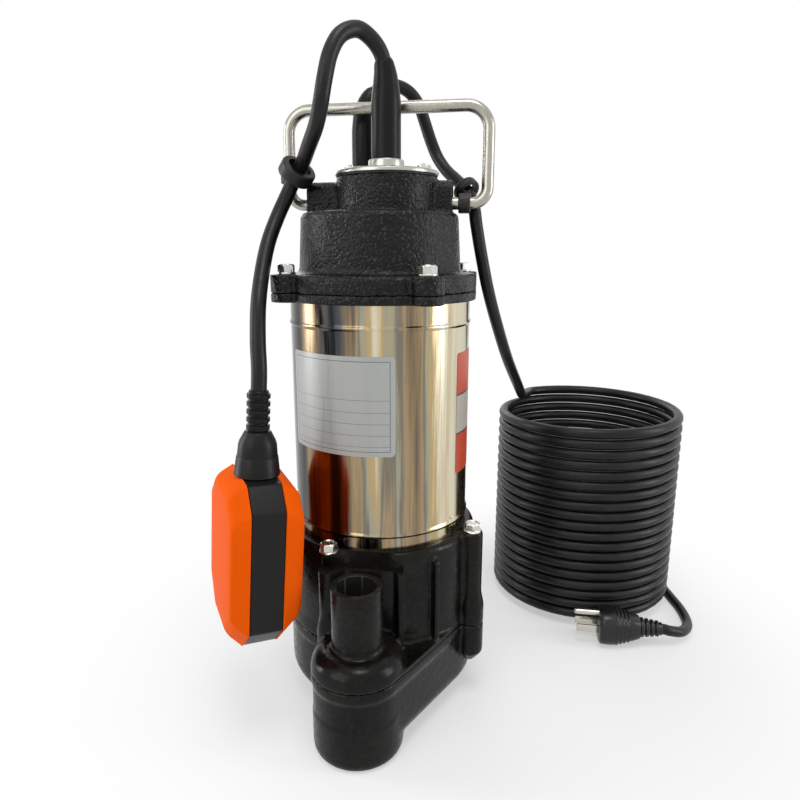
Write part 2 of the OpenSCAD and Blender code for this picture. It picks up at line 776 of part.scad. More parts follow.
module gland_screws() color(steel) {
    for (s = [-1, 1]) translate([neck_shift + s * 25, 0, plate_z]) {
        translate([0, 0, plate_h]) difference() {
            revolve([[0, 0], [4.8, 0], [4.6, 1.8], [3.4, 3.1], [0, 3.6]]);
            translate([-6, -0.6, 2]) cube([12, 1.2, 4]);
        }
        translate([0, 0, -8]) cylinder(r = 2.5, h = plate_h + 8 + eps);
    }
}

// Cable boot that tapers at its mouth to a cable of radius cable_r
module cable_boot(cable_r, height) {
    revolve([
        [0, -3], [boot_base_r - 3.1, -3], [boot_base_r - 3.1, 0], [boot_base_r, 0],
        [boot_base_r, height - 9], [boot_base_r - 0.8, height - 5], [cable_r + 2, height - 0.8],
        [cable_r + 1.2, height], [0, height]
    ]);
}

boot_z = plate_z + 4;

module float_cable_boot() color(rubber) {
    translate([float_gland.x, float_gland.y, boot_z]) cable_boot(float_d / 2, float_boot_h);
}

module power_cable_boot() color(rubber) {
    translate([power_gland.x, power_gland.y, boot_z]) cable_boot(power_d / 2, power_boot_h);
}

module capacitor() color([0.85, 0.85, 0.82]) {
    translate([-26, 0, bracket_z + bracket_h]) {
        cylinder(r = 17, h = 44);
        translate([-6, 0, 44 - eps]) cylinder(r = 2, h = 5);
        translate([6, 0, 44 - eps]) cylinder(r = 2, h = 5);
    }
}

module terminal_block() color([0.9, 0.88, 0.8]) {
    translate([14, -18, bracket_z + bracket_h]) difference() {
        cube([18, 36, 16]);
        for (k = [0:3]) translate([9, 4.5 + 9 * k, 6]) cylinder(r = 2.6, h = 12);
    }
}

// ---------------------------------------------------------------- handle

// Quarter bend of the wire, from +X to +Y about the origin
module wire_bend(radius) {
    rotate_extrude(angle = 90, $fn = 96) translate([radius, 0]) circle(r = wire_r, $fn = 48);
}

module handle() color(steel) {
    half = handle_w / 2;
    inner_end = boss_reach - pivot_depth + 0.5;
    translate([0, 0, pivot_z]) {
        translate([neck_shift, 0, 0]) {
            translate([-half + handle_bend, 0, handle_rise]) rotate([0, 90, 0])
                cylinder(r = wire_r, h = 2 * (half - handle_bend), $fn = 48);
            for (s = [0, 180]) rotate([0, 0, s]) {
                translate([half, 0, handle_turn])
                    cylinder(r = wire_r, h = handle_rise - handle_turn - handle_bend, $fn = 48);
                translate([half - handle_bend, 0, handle_rise - handle_bend]) rotate([90, 0, 0])
                    wire_bend(handle_bend);
                translate([half - handle_turn, 0, handle_turn]) rotate([-90, 0, 0]) wire_bend(handle_turn);
            }
        }
        translate([inner_end, 0, 0]) rotate([0, 90, 0])
            cylinder(r = wire_r, h = half + neck_shift - handle_turn - inner_end, $fn = 48);
        mirror([1, 0, 0]) translate([inner_end, 0, 0]) rotate([0, 90, 0])
            cylinder(r = wire_r, h = half - neck_shift - handle_turn - inner_end, $fn = 48);
    }
}

// Cable ring with a rounded rim, facing dir
module clip_ring(place, dir, outer, inner, width) {
    translate(place) point_along(dir) revolve([
        [inner, -width / 2], [outer - 1.5, -width / 2], [outer, 1.5 - width / 2],
        [outer, width / 2 - 1.5], [outer - 1.5, width / 2], [inner, width / 2]
    ]);
}

// Web from a grip on the wire to a cable ring
module clip_web(from, to, radius) {
    translate(from) point_along(to - from) cylinder(r = radius, h = norm(to - from), $fn = 32);
}

float_ring_hole = 8;
power_ring_hole = 6.4;

// Clip on the left leg that the float cable runs through
module float_cable_clip() color(rubber) {
    leg = [neck_shift - handle_w / 2, 0, float_ring.z];
    difference() {
        union() {
            clip_ring(float_ring, float_ring_dir, 12, float_ring_hole, 9);
            translate(leg) translate([0, 0, -6]) cylinder(r = grip_r, h = 12);
            clip_web(leg, float_ring, 4.5);
        }
        translate(leg) translate([0, 0, -20]) cylinder(r = wire_r, h = 40, $fn = 48);
        translate(float_ring) point_along(float_ring_dir) translate([0, 0, -15])
            cylinder(r = float_ring_hole, h = 30, $fn = 96);
    }
}

// Clip on the right foot of the handle that the mains cord runs through
module power_cable_clip() color(rubber) {
    foot = [power_ring.x, 0, pivot_z];
    difference() {
        union() {
            clip_ring(power_ring, power_ring_dir, 9, power_ring_hole, 6);
            translate(foot) rotate([0, 90, 0]) translate([0, 0, -4]) cylinder(r = grip_r, h = 8);
            clip_web(foot, power_ring, 3.2);
        }
        translate(foot) rotate([0, 90, 0]) translate([0, 0, -9]) cylinder(r = wire_r, h = 18, $fn = 48);
        translate(power_ring) point_along(power_ring_dir) translate([0, 0, -15])
            cylinder(r = power_ring_hole, h = 30, $fn = 96);
    }
}

// ---------------------------------------------------------------- cords

up = [0, 0, 1];
cord_steps = 2;

module float_cable_loop() color(rubber) {
    start = [float_gland.x, float_gland.y, boot_z + float_boot_h];
    route = concat([start - 10 * up, start], float_loop_route, [float_ring, float_drop_route[0]]);
    tube(curve(route, cord_steps), up, float_ring_dir, float_d / 2, 10, [0, 1, 0]);
}

module float_cable_drop() color(rubber) {
    end = float_place + (float_h / 2 - 1 + float_neck_h + float_boot_l) * float_axis;
    last = len(float_loop_route) - 1;
    route = concat([float_loop_route[last], float_ring], float_drop_route, [end, end - 20 * float_axis]);
    tube(curve(route, cord_steps), float_ring_dir, float_axis * -1, float_d / 2, 10, [0, 1, 0]);
}

function coil_angle(t) = coil_start - coil_sweep * t;
function coil_height(t) = coil_low + coil_pitch * coil_sweep / 360 * (1 - t);
function coil_point(t) = let (a = coil_angle(t))
    [coil_centre.x + coil_r * cos(a), coil_centre.y + coil_r * sin(a), coil_height(t)];
function coil_along(t) = [sin(coil_angle(t)), -cos(coil_angle(t)), 0];

coil_in = coil_point(0) - coil_lead * coil_along(0);
coil_out = coil_point(1) + coil_lead * coil_along(1);

module power_cord_rise() color(rubber) {
    start = [power_gland.x, power_gland.y, boot_z + power_boot_h];
    route = concat([start - 10 * up, start], power_rise_route, [coil_in, coil_point(0)]);
    tube(curve(route, cord_steps), up, coil_along(0), power_d / 2, 8, [0, 1, 0]);
}

// Single-layer coil: one unbroken helix with a short straight lead at each end
module power_cord_coil() color(rubber) {
    count = round(coil_sweep * coil_rings / 360);
    line = concat([coil_in], [for (i = [0:count]) coil_point(i / count)], [coil_out]);
    dirs = concat([coil_along(0)], [for (i = [0:count]) coil_along(i / count)], [coil_along(1)]);
    loft([for (i = [0:len(line) - 1]) let (w = cross(dirs[i], up))
        [for (k = [0:coil_sides - 1]) let (a = 360 * k / coil_sides)
            line[i] + power_d / 2 * (w * cos(a) + up * sin(a))]]);
}

// Least distance between the surfaces of neighbouring turns, measured on the coil's points
coil_step = 360 / coil_rings / coil_sweep;
coil_gap = min([for (i = [0:coil_rings], k = [-3:3])
    norm(coil_point(i * coil_step) - coil_point((i + k + coil_rings) * coil_step))]) - power_d;
echo(coil_gap = coil_gap);

module power_cord_tail() color(rubber) {
    end = [plug_face_x + plug_l + relief_l, plug_y, plug_z];
    route = concat([coil_point(1), coil_out], power_tail_route, [end, end - [20, 0, 0]]);
    tube(curve(route, cord_steps), coil_along(1), [-1, 0, 0], power_d / 2, 8, up);
}

// ---------------------------------------------------------------- plug

module plug_place() translate([plug_face_x, plug_y, plug_z]) rotate([0, 90, 0]) children();

// Section of the plug: a round top on a flatter bottom, of half width w and half height h
function plug_section(w, h, z) =
    [for (k = [0:23]) let (a = 15 * k, s = sin(a), c = cos(a))
        [h * sign(c) * pow(abs(c), 0.7), w * sign(s) * pow(abs(s), 0.8), z]];

module plug_body() color(rubber) {
    plug_place() loft([
        plug_section(13.2, 12.6, 0), plug_section(14.8, 14.4, 1.6), plug_section(15, 14.8, 12),
        plug_section(13.6, 13, 20), plug_section(11.6, 10.6, 27), plug_section(9, 8.6, plug_l)
    ]);
}

// Ribbed strain relief between the plug and the cord
module plug_relief() color(rubber) {
    ribs = 3;
    plug_place() translate([0, 0, plug_l]) difference() {
        union() {
            cylinder(r1 = 7, r2 = 5.2, h = relief_l);
            for (k = [0:ribs]) translate([0, 0, 1 + 4 * k]) cylinder(r = 8 - 0.5 * k, h = 2.2);
        }
        translate([0, 0, relief_l - 1]) cylinder(r = 3, h = 4);
    }
}

module plug_blades() color([0.75, 0.74, 0.7]) {
    plug_place() for (s = [-1, 1]) translate([1.2, s * 6.35, -blade_l]) difference() {
        translate([-3.15, -0.75, 0]) cube([6.3, 1.5, blade_l]);
        rotate([90, 0, 0]) translate([0, 4.6, -3]) cylinder(r = 1.6, h = 6, $fn = 32);
    }
}

module plug_ground_pin() color([0.75, 0.74, 0.7]) {
    plug_place() translate([-10.2, 0, -blade_l - 2]) {
        translate([0, 0, 2.4]) cylinder(r = 2.4, h = blade_l - 0.4);
        translate([0, 0, 2.4]) sphere(r = 2.4, $fn = 32);
    }
}

// ---------------------------------------------------------------- float

float_axis = [sin(float_lean), 0, cos(float_lean)];

// Frame of the float: x across its thickness, y across its width, z up its length
module float_frame() {
    translate(float_place) rotate([0, float_lean, 0]) rotate([0, 0, float_turn]) children();
}

// Bevelled outline of the float, drawn in by inset
module float_outline(inset) {
    w = float_w / 2 - inset;
    h = float_h / 2 - inset;
    top = bevel_top - 0.6 * inset;
    low = bevel_low - 0.6 * inset;
    polygon([
        [-w + low, -h], [w - low, -h], [w, -h + low], [w, h - top], [w - top, h],
        [-w + top, h], [-w, h - top], [-w, -h + low]
    ]);
}

// Stands an outline drawn in XY upright across the thickness of the float
module across_float() rotate([90, 0, 90]) children();

// Half shell: a hollow tray with rounded outer edges
module float_shell() {
    half = float_t / 2;
    depth = half - band_t / 2;
    across_float() translate([0, 0, band_t / 2]) difference() {
        union() {
            linear_extrude(depth - 5) float_outline(0);
            hull() {
                translate([0, 0, depth - 5 - eps]) linear_extrude(0.1) float_outline(0);
                translate([0, 0, depth - 2]) linear_extrude(0.1) float_outline(1.4);
                translate([0, 0, depth - 0.1]) linear_extrude(0.1) float_outline(4.5);
            }
        }
        translate([0, 0, -1]) linear_extrude(depth - float_wall + 1) float_outline(5);
    }
}

module float_shell_right() color(orange) float_frame() float_shell();
module float_shell_left() color(orange) float_frame() rotate([0, 0, 180]) float_shell();

// Black middle band with the cable neck that narrows in two steps
module float_band() color(rubber) float_frame() {
    difference() {
        union() {
            across_float() translate([0, 0, -band_t / 2]) linear_extrude(band_t) float_outline(0.5);
            translate([0, 0, float_h / 2]) revolve([
                [0, -1], [band_t / 2 - 0.6, -1], [band_t / 2 - 0.6, 0.05], [14.6, 0.05], [11.9, 21],
                [8.2, float_neck_h - 1], [0, float_neck_h - 1]
            ]);
        }
        across_float() translate([0, 0, -band_t / 2 - 1]) linear_extrude(band_t + 2) float_outline(6);
        translate([0, 0, float_h / 2 - 8]) cylinder(r = float_d / 2, h = float_neck_h + 20);
    }
}

// Ribbed boot on the float's cable
module float_boot() color(rubber) float_frame() {
    ribs = 5;
    translate([0, 0, float_h / 2 - 1 + float_neck_h]) difference() {
        union() {
            cylinder(r = 6.1, h = float_boot_l);
            for (k = [0:ribs - 1]) translate([0, 0, 1 + 5 * k]) cylinder(r = 7.3, h = 3);
        }
        translate([0, 0, -1]) cylinder(r = float_d / 2, h = 5);
    }
}

// Switch housing with the ball's track below it
module float_switch() color([0.25, 0.25, 0.27]) float_frame() {
    track_r = ball_r + 0.3;
    translate([-5, -13, 9]) cube([10, 26, 16]);
    difference() {
        translate([-band_t / 2, -12, ball_low - ball_r - 3])
            cube([band_t, 24, 3 + ball_r - ball_low]);
        translate([0, 0, ball_low]) cylinder(r = track_r, h = 60);
        translate([0, 0, ball_low]) sphere(r = track_r, $fn = 48);
        translate([-30, -3, ball_low]) cube([60, 6, 60]);
    }
    for (s = [-1, 1]) translate([-5, s * 12 - 2, -2]) cube([10, 4, 12]);
}

module float_ball() color(steel) float_frame() {
    translate([0, 0, ball_low]) sphere(r = ball_r, $fn = 48);
}

// Thin lever of the switch, tilted down towards the ball
module switch_lever() color(steel) float_frame() {
    translate([0, -8, lever_z]) rotate([-lever_tilt, 0, 0]) {
        translate([-2.5, 0, -0.3]) cube([5, lever_l, 0.6]);
        rotate([0, 90, 0]) translate([0, 0, -3]) cylinder(r = 1.2, h = 6, $fn = 32);
    }
}

// ---------------------------------------------------------------- the whole pump

base_casing();
casing_feet();
inlet_strainer();
strainer_screws();
pump_body();
casing_seal();
body_bolts();
seal_plate();
seal_stationary_ring();
oil_seal();
lower_bearing_outer();
motor_shell();
shell_top_ring();
shell_seals();
stator_core();
stator_windings();
bearing_bracket();
upper_bearing_outer();
top_cap();
cap_bolts();
gland_plate();
gland_gasket();
gland_screws();
float_cable_boot();
power_cable_boot();
capacitor();
terminal_block();
float_cable_loop();
power_cord_rise();
power_cord_coil();
power_cord_tail();
plug_body();
plug_relief();
plug_blades();
plug_ground_pin();
handle();
float_cable_clip();
power_cable_clip();
shaft();
rotor_core();
impeller();
impeller_nut();
impeller_key();
seal_rotating_ring();
seal_spring();
lower_bearing_inner();
upper_bearing_inner();
lower_bearing_balls();
upper_bearing_balls();
float_cable_drop();
float_boot();
float_band();
float_shell_left();
float_shell_right();
float_switch();
float_ball();
switch_lever();
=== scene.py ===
"""Submersible sump pump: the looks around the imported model.

Sizes are in millimetres in the classes below and become metres when a piece is made.
The axes are the model's own: Z up, the pump's axis at the origin, the discharge pipe towards -Y.
"""

from __future__ import annotations

import json
import logging
import math
from dataclasses import dataclass, field, replace
from enum import Enum
from functools import lru_cache
from typing import Iterable, Sequence

import bpy
import numpy as np
from mathutils import Matrix

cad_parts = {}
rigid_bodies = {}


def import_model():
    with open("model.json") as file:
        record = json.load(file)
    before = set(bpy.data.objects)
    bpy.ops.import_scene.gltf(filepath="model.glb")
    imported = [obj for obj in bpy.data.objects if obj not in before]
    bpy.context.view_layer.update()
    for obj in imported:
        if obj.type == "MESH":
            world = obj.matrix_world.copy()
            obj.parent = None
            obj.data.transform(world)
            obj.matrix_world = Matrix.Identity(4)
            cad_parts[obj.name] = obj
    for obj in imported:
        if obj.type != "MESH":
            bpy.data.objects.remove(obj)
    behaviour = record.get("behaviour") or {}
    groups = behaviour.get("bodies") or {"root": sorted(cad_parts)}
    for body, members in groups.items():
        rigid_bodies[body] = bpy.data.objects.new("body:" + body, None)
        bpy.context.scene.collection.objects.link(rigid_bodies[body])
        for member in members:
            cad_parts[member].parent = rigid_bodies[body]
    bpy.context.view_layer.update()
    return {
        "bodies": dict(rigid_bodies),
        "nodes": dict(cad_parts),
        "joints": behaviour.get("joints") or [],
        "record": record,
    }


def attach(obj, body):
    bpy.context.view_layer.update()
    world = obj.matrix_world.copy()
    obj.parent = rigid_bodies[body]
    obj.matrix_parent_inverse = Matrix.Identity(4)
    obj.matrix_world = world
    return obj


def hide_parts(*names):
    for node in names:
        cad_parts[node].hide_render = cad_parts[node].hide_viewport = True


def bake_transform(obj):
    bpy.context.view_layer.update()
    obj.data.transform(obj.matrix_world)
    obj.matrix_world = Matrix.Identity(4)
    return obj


Vec = Sequence[float]
Colour = tuple[float, float, float]

LOG = logging.getLogger("pump")
# The model's numbers are millimetres and Blender's are metres
MM = 0.001
UP = np.array([0.0, 0.0, 1.0])
# Axes of a form whose Z runs along X
ALONG_X = np.array([[0, 0, 1], [1, 0, 0], [0, 1, 0]], float)
# Half size of the blocks that cut a casting off level
FAR = 200.0
# Places and sizes that several classes share
SHELL_R = 62.5
PIVOT_Z = 351.0
FLOAT_RING: Vec = (-53, -15, 371)
FLOAT_RING_WAY: Vec = (-0.60, 0.35, -0.72)


class Body(str, Enum):
    """Bodies of the model that pieces ride on."""

    PUMP = "pump"
    BAIL = "bail"
    FLOAT = "float"


# ------------------------------------------------------------------ surfaces


@dataclass
class Form:
    """A surface: its points in millimetres, its faces, and a UV pair for each point."""

    points: np.ndarray
    faces: list[list[int]]
    uv: np.ndarray | None = None

    def moved(self, offset: Vec) -> Form:
        """Returns the form shifted by offset."""
        return replace(self, points=self.points + np.asarray(offset, float))

    def turned(self, degrees: float) -> Form:
        """Returns the form turned about Z."""
        return self.by(turn_about(UP, degrees))

    def by(self, matrix: np.ndarray) -> Form:
        """Returns the form multiplied by a 3 by 3 matrix."""
        return replace(self, points=self.points @ np.asarray(matrix, float).T)

    def facing(self, direction: Vec) -> Form:
        """Returns the form with its Z axis turned to a direction."""
        return self.by(axes_along(direction))


def turn_about(axis: Vec, degrees: float) -> np.ndarray:
    """Turning matrix, by Rodrigues' formula: I + sin K + (1 - cos) K K.

    Args:
        axis: direction of the axis.
        degrees: angle of the turn.

    Returns:
        A 3 by 3 matrix.
    """
    x, y, z = np.asarray(axis, float) / np.linalg.norm(axis)
    cross = np.array([[0, -z, y], [z, 0, -x], [-y, x, 0]])
    angle = math.radians(degrees)
    return np.eye(3) + math.sin(angle) * cross + (1 - math.cos(angle)) * cross @ cross


def axes_along(direction: Vec) -> np.ndarray:
    """Axes whose third one is a direction: X lies level, and Y completes the set.

    Args:
        direction: where Z goes.

    Returns:
        A 3 by 3 matrix whose columns are the axes.
    """
    z = np.asarray(direction, float) / np.linalg.norm(direction)
    level = np.cross(UP, z)
    x = level / np.linalg.norm(level) if np.linalg.norm(level) > 1e-9 else np.array([1.0, 0, 0])
    return np.column_stack([x, np.cross(z, x), z])


def grid(points: np.ndarray, around: bool = True, along: bool = False, caps: bool = True) -> Form:
    """Surface over a grid of points, with rows upwards and columns anticlockwise seen from above.

    Args:
        points: an array of rows, columns and three coordinates.
        around: whether the last column joins the first.
        along: whether the last row joins the first.
        caps: whether flat faces close the first and last row.

    Returns:
        The form, whose faces point outwards.
    """
    rows, cols = points.shape[:2]
    i, j = np.meshgrid(
        np.arange(rows if along else rows - 1), np.arange(cols if around else cols - 1), indexing="ij"
    )
    near, far = i * cols, (i + 1) % rows * cols
    right = (j + 1) % cols
    quads = np.stack([near + j, near + right, far + right, far + j], -1).reshape(-1, 4)
    faces = quads.tolist()
    if caps and around and not along:
        faces.append(list(range(cols - 1, -1, -1)))
        faces.append(list(range((rows - 1) * cols, rows * cols)))
    return Form(points.reshape(-1, 3), faces)


def circle_of(count: int) -> np.ndarray:
    """Returns count unit vectors round a circle, anticlockwise from X."""
    angle = np.arange(count) * 2 * np.pi / count
    return np.column_stack([np.cos(angle), np.sin(angle)])


def circles(profile: Sequence[Vec], sides: int) -> np.ndarray:
    """Returns a grid of points: each profile point (r, z) becomes the circle r (cos t, sin t), z."""
    rz = np.asarray(profile, float)
    points = np.empty((len(rz), sides, 3))
    points[..., :2] = rz[:, None, :1] * circle_of(sides)[None]
    points[..., 2] = rz[:, 1, None]
    return points


def revolve(profile: Sequence[Vec], sides: int = 96, centre: Vec = (0, 0)) -> Form:
    """Solid of revolution.

    Args:
        profile: points (r, z) from the bottom to the top; both ends get a flat cap.
        sides: points round the circle.
        centre: place of the axis.

    Returns:
        A closed form.
    """
    return grid(circles(profile, sides) + [*centre, 0.0])


def ring(profile: Sequence[Vec], sides: int = 96) -> Form:
    """Ring of revolution whose profile (r, z) is a closed loop, anticlockwise with r to the right."""
    return grid(circles(profile, sides), along=True, caps=False)


def rounded(corners: Sequence[Vec], radius: float, steps: int) -> np.ndarray:
    """Rounds the corners of a closed outline.

    Each corner becomes the arc that touches both of its sides, at radius / tan(half its angle) from it.

    Args:
        corners: the corner points.
        radius: radius of the arcs.
        steps: straight pieces in each arc.

    Returns:
        An array of points.
    """
    c = np.asarray(corners, float)
    arcs = [corner_arc(c[k - 1], c[k], c[(k + 1) % len(c)], radius, steps) for k in range(len(c))]
    return np.concatenate(arcs)


def corner_arc(before: np.ndarray, corner: np.ndarray, after: np.ndarray, radius: float,
               steps: int) -> np.ndarray:
    """Arc that touches both sides of a corner.

    Args:
        before: point before the corner.
        corner: the corner itself.
        after: point after the corner.
        radius: radius of the arc.
        steps: straight pieces in the arc.

    Returns:
        An array of steps + 1 points.
    """
    a = (before - corner) / np.linalg.norm(before - corner)
    b = (after - corner) / np.linalg.norm(after - corner)
    half = math.acos(float(np.clip(a @ b, -1, 1))) / 2
    middle = (a + b) / np.linalg.norm(a + b)
    centre = corner + middle * radius / math.sin(half)
    start = corner + a * radius / math.tan(half) - centre
    stop = corner + b * radius / math.tan(half) - centre
    sweep = math.pi - 2 * half
    t = np.linspace(0, 1, steps + 1)[:, None]
    return centre + (np.sin((1 - t) * sweep) * start + np.sin(t * sweep) * stop) / math.sin(sweep)


def bent(before: np.ndarray, route: Sequence[Vec], after: np.ndarray, steps: int) -> np.ndarray:
    """Smooth Catmull-Rom curve through a route.

    Between points b and c, with a before and d after, it is
    (2b + (c - a) t + (2a - 5b + 4c - d) t^2 + (3b - a - 3c + d) t^3) / 2.

    Args:
        before: point that sets the direction of the start.
        route: the points that the curve passes.
        after: point that sets the direction of the end.
        steps: pieces between two points of the route.

    Returns:
        An array of points.
    """
    p = np.vstack([before, np.asarray(route, float), after])
    a, b, c, d = (p[k : len(p) - 3 + k, None] for k in range(4))
    t = (np.arange(steps) / steps)[None, :, None]
    line = 0.5 * (2 * b + (c - a) * t + (2 * a - 5 * b + 4 * c - d) * t**2 + (3 * b - a - 3 * c + d) * t**3)
    return np.vstack([line.reshape(-1, 3), p[-2:-1]])


def path_length(line: np.ndarray) -> np.ndarray:
    """Returns the distance along a line at each of its points."""
    return np.concatenate([[0.0], np.cumsum(np.linalg.norm(np.diff(line, axis=0), axis=1))])


def sweep(line: np.ndarray, radius: float | np.ndarray, sides: int = 16, first: Vec | None = None,
          last: Vec | None = None) -> Form:
    """Round tube along a line: point + radius (side cos t + other sin t), the side carried without twist.

    Args:
        line: the centre line.
        radius: one radius, or one for each point of the line.
        sides: points round the tube.
        first: direction of the first ring, if it isn't the line's own.
        last: direction of the last ring, if it isn't the line's own.

    Returns:
        A closed form, whose UV is the turn round the tube and the millimetres along it.
    """
    way = np.gradient(line, axis=0)
    way[0] = way[0] if first is None else first
    way[-1] = way[-1] if last is None else last
    way /= np.linalg.norm(way, axis=1, keepdims=True)
    side = np.empty_like(way)
    current = np.cross(way[0], [0.31, 0.95, 0.05])
    for k, direction in enumerate(way):
        current = current - (current @ direction) * direction
        current = current / np.linalg.norm(current)
        side[k] = current
    other = np.cross(way, side)
    unit = circle_of(sides)
    reach = np.broadcast_to(np.asarray(radius, float), (len(line),))[:, None, None]
    points = line[:, None] + reach * (side[:, None] * unit[:, :1] + other[:, None] * unit[:, 1:])
    form = grid(points)
    turn = np.broadcast_to(np.arange(sides) / sides, (len(line), sides))
    along = np.broadcast_to(path_length(line)[:, None], (len(line), sides))
    form.uv = np.stack([turn, along], -1).reshape(-1, 2)
    return form


def block(low: Vec, high: Vec) -> Form:
    """Returns a plain box between two corners, for use inside a casting or as a cutter."""
    (x0, y0, z0), (x1, y1, z1) = low, high
    return grid(np.array([[(x0, y0, z), (x1, y0, z), (x1, y1, z), (x0, y1, z)] for z in (z0, z1)], float))


def drum(radius: float, low: float, high: float, centre: Vec = (0, 0), sides: int = 96) -> Form:
    """Returns an upright round solid between two heights."""
    return revolve([(radius, low), (radius, high)], sides, centre)


def hex_head(across: float, height: float, washer: float, washer_h: float) -> Form:
    """Hexagon head with a chamfered crown on a round washer.

    Its radius is the lesser of the hexagon's, a / cos(t), and the chamfer cone's.

    Args:
        across: width across flats.
        height: height above the washer.
        washer: radius of the washer.
        washer_h: thickness of the washer.

    Returns:
        A closed form that stands on Z = 0.
    """
    sides = 72
    t = np.radians((np.arange(sides) * 360 / sides) % 60 - 30)
    flat = across / 2 / np.cos(t)
    corner = across / 2 / math.cos(math.radians(30))
    rows = [(washer - 0.3, 0), (washer, 0.25), (washer, washer_h - 0.25), (washer - 0.3, washer_h)]
    rings = [np.full(sides, r) for r, _ in rows]
    heights = [z for _, z in rows]
    for cone, z in ((corner - 0.5, 0.02), (corner, 0.3), (corner, 0.78 * height), (corner - 0.45, 0.9 * height),
                    (corner - 1.15, height), (corner - 2.2, height), (corner - 2.9, height - 0.5)):
        rings.append(np.minimum(flat, cone))
        heights.append(washer_h + z)
    unit = circle_of(sides)
    points = np.stack([np.column_stack([unit * r[:, None], np.full(sides, z)])
                       for r, z in zip(rings, heights)])
    return grid(points)


# ------------------------------------------------------------------ pieces


def mesh_of(name: str, forms: Iterable[Form]) -> bpy.types.Object:
    """Makes one object of some forms, in metres, at the origin.

    Args:
        name: name of the piece.
        forms: its surfaces.

    Returns:
        The object, linked to the scene.
    """
    forms = list(forms)
    starts = np.cumsum([0] + [len(form.points) for form in forms[:-1]])
    points = np.concatenate([form.points for form in forms]) * MM
    faces = [[index + int(start) for index in face]
             for form, start in zip(forms, starts) for face in form.faces]
    mesh = bpy.data.meshes.new(name)
    mesh.from_pydata(points.tolist(), [], faces)
    if all(form.uv is not None for form in forms):
        pairs = np.concatenate([form.uv for form in forms])
        corners = np.empty(len(mesh.loops), dtype=np.int32)
        mesh.loops.foreach_get("vertex_index", corners)
        layer = mesh.uv_layers.new(name="UVMap")
        layer.data.foreach_set("uv", pairs[corners].ravel())
    mesh.update()
    piece = bpy.data.objects.new(name, mesh)
    bpy.context.scene.collection.objects.link(piece)
    return piece


def settle(piece: bpy.types.Object) -> bpy.types.Object:
    """Applies a piece's modifiers and returns it."""
    graph = bpy.context.evaluated_depsgraph_get()
    done = bpy.data.meshes.new_from_object(piece.evaluated_get(graph))
    piece.modifiers.clear()
    piece.data = done
    return piece


def shade(piece: bpy.types.Object, degrees: float = 35) -> bpy.types.Object:
    """Shades a piece smooth up to an angle between its faces and returns it."""
    piece.data.shade_smooth()
    piece.data.set_sharp_from_angle(angle=math.radians(degrees))
    return piece


def piece_of(name: str, forms: Iterable[Form], bevel: float = 0.0, degrees: float = 35) -> bpy.types.Object:
    """Makes a piece, rounds its edges and shades it.

    Args:
        name: name of the piece.
        forms: its surfaces.
        bevel: width of the rounding in millimetres.
        degrees: angle from which an edge is rounded and stays sharp.

    Returns:
        The object.
    """
    piece = mesh_of(name, forms)
    if bevel:
        round_edges = piece.modifiers.new("round", "BEVEL")
        round_edges.width = bevel * MM
        round_edges.segments = 2
        round_edges.limit_method = "ANGLE"
        round_edges.angle_limit = math.radians(degrees)
        settle(piece)
    return shade(piece, degrees)


def cast(name: str, forms: Iterable[Form], voxel: float, passes: int,
         cuts: Iterable[Form] = ()) -> bpy.types.Object:
    """Makes a casting: overlapping solids fused on a voxel grid, their joints softened, then machined.

    Args:
        name: name of the piece.
        forms: closed solids that overlap.
        voxel: size of the voxels in millimetres.
        passes: rounds of smoothing, which make the fillets.
        cuts: solids that are cut away afterwards, with sharp edges.

    Returns:
        The object.
    """
    piece = mesh_of(name, forms)
    fuse = piece.modifiers.new("fuse", "REMESH")
    fuse.mode = "VOXEL"
    fuse.voxel_size = voxel * MM
    soften = piece.modifiers.new("soften", "SMOOTH")
    soften.factor = 0.5
    soften.iterations = passes
    settle(piece)
    for k, form in enumerate(cuts):
        tool = mesh_of(f"{name}_tool_{k}", [form])
        cut = piece.modifiers.new("cut", "BOOLEAN")
        cut.operation = "DIFFERENCE"
        cut.solver = "EXACT"
        cut.object = tool
        settle(piece)
        bpy.data.objects.remove(tool)
    return shade(piece, 40)


# ------------------------------------------------------------------ shader maths


class Signal:
    """A number, colour or vector that runs through a material; arithmetic on it adds Math nodes."""

    __slots__ = ("shader", "socket")

    def __init__(self, shader: Shader, socket: bpy.types.NodeSocket) -> None:
        """Wraps an output socket."""
        self.shader = shader
        self.socket = socket

    def _math(self, operation: str, first: Input, second: Input) -> Signal:
        """Returns the result of a Math node on two inputs."""
        return self.shader.add("ShaderNodeMath", {"operation": operation}, {0: first, 1: second})

    def __add__(self, other: Input) -> Signal:
        """Returns the sum."""
        return self._math("ADD", self, other)

    __radd__ = __add__

    def __sub__(self, other: Input) -> Signal:
        """Returns the difference."""
        return self._math("SUBTRACT", self, other)

    def __rsub__(self, other: Input) -> Signal:
        """Returns a number less this signal."""
        return self._math("SUBTRACT", other, self)

    def __mul__(self, other: Input) -> Signal:
        """Returns the product."""
        return self._math("MULTIPLY", self, other)

    __rmul__ = __mul__

    def most(self, other: Input) -> Signal:
        """Returns the greater of two values."""
        return self._math("MAXIMUM", self, other)

    def near(self, value: float, reach: float) -> Signal:
        """Returns 1 where this signal is within reach of a value, and 0 elsewhere."""
        return self.shader.add("ShaderNodeMath", {"operation": "COMPARE"}, {0: self, 1: value, 2: reach})

    def spread(self, low: float, high: float, to_low: float = 0.0, to_high: float = 1.0) -> Signal:
        """Returns this signal taken from one range to another, clamped and eased."""
        return self.shader.add(
            "ShaderNodeMapRange",
            {"interpolation_type": "SMOOTHSTEP"},
            {0: self, 1: low, 2: high, 3: to_low, 4: to_high},
        )


Input = Signal | float | Sequence[float]


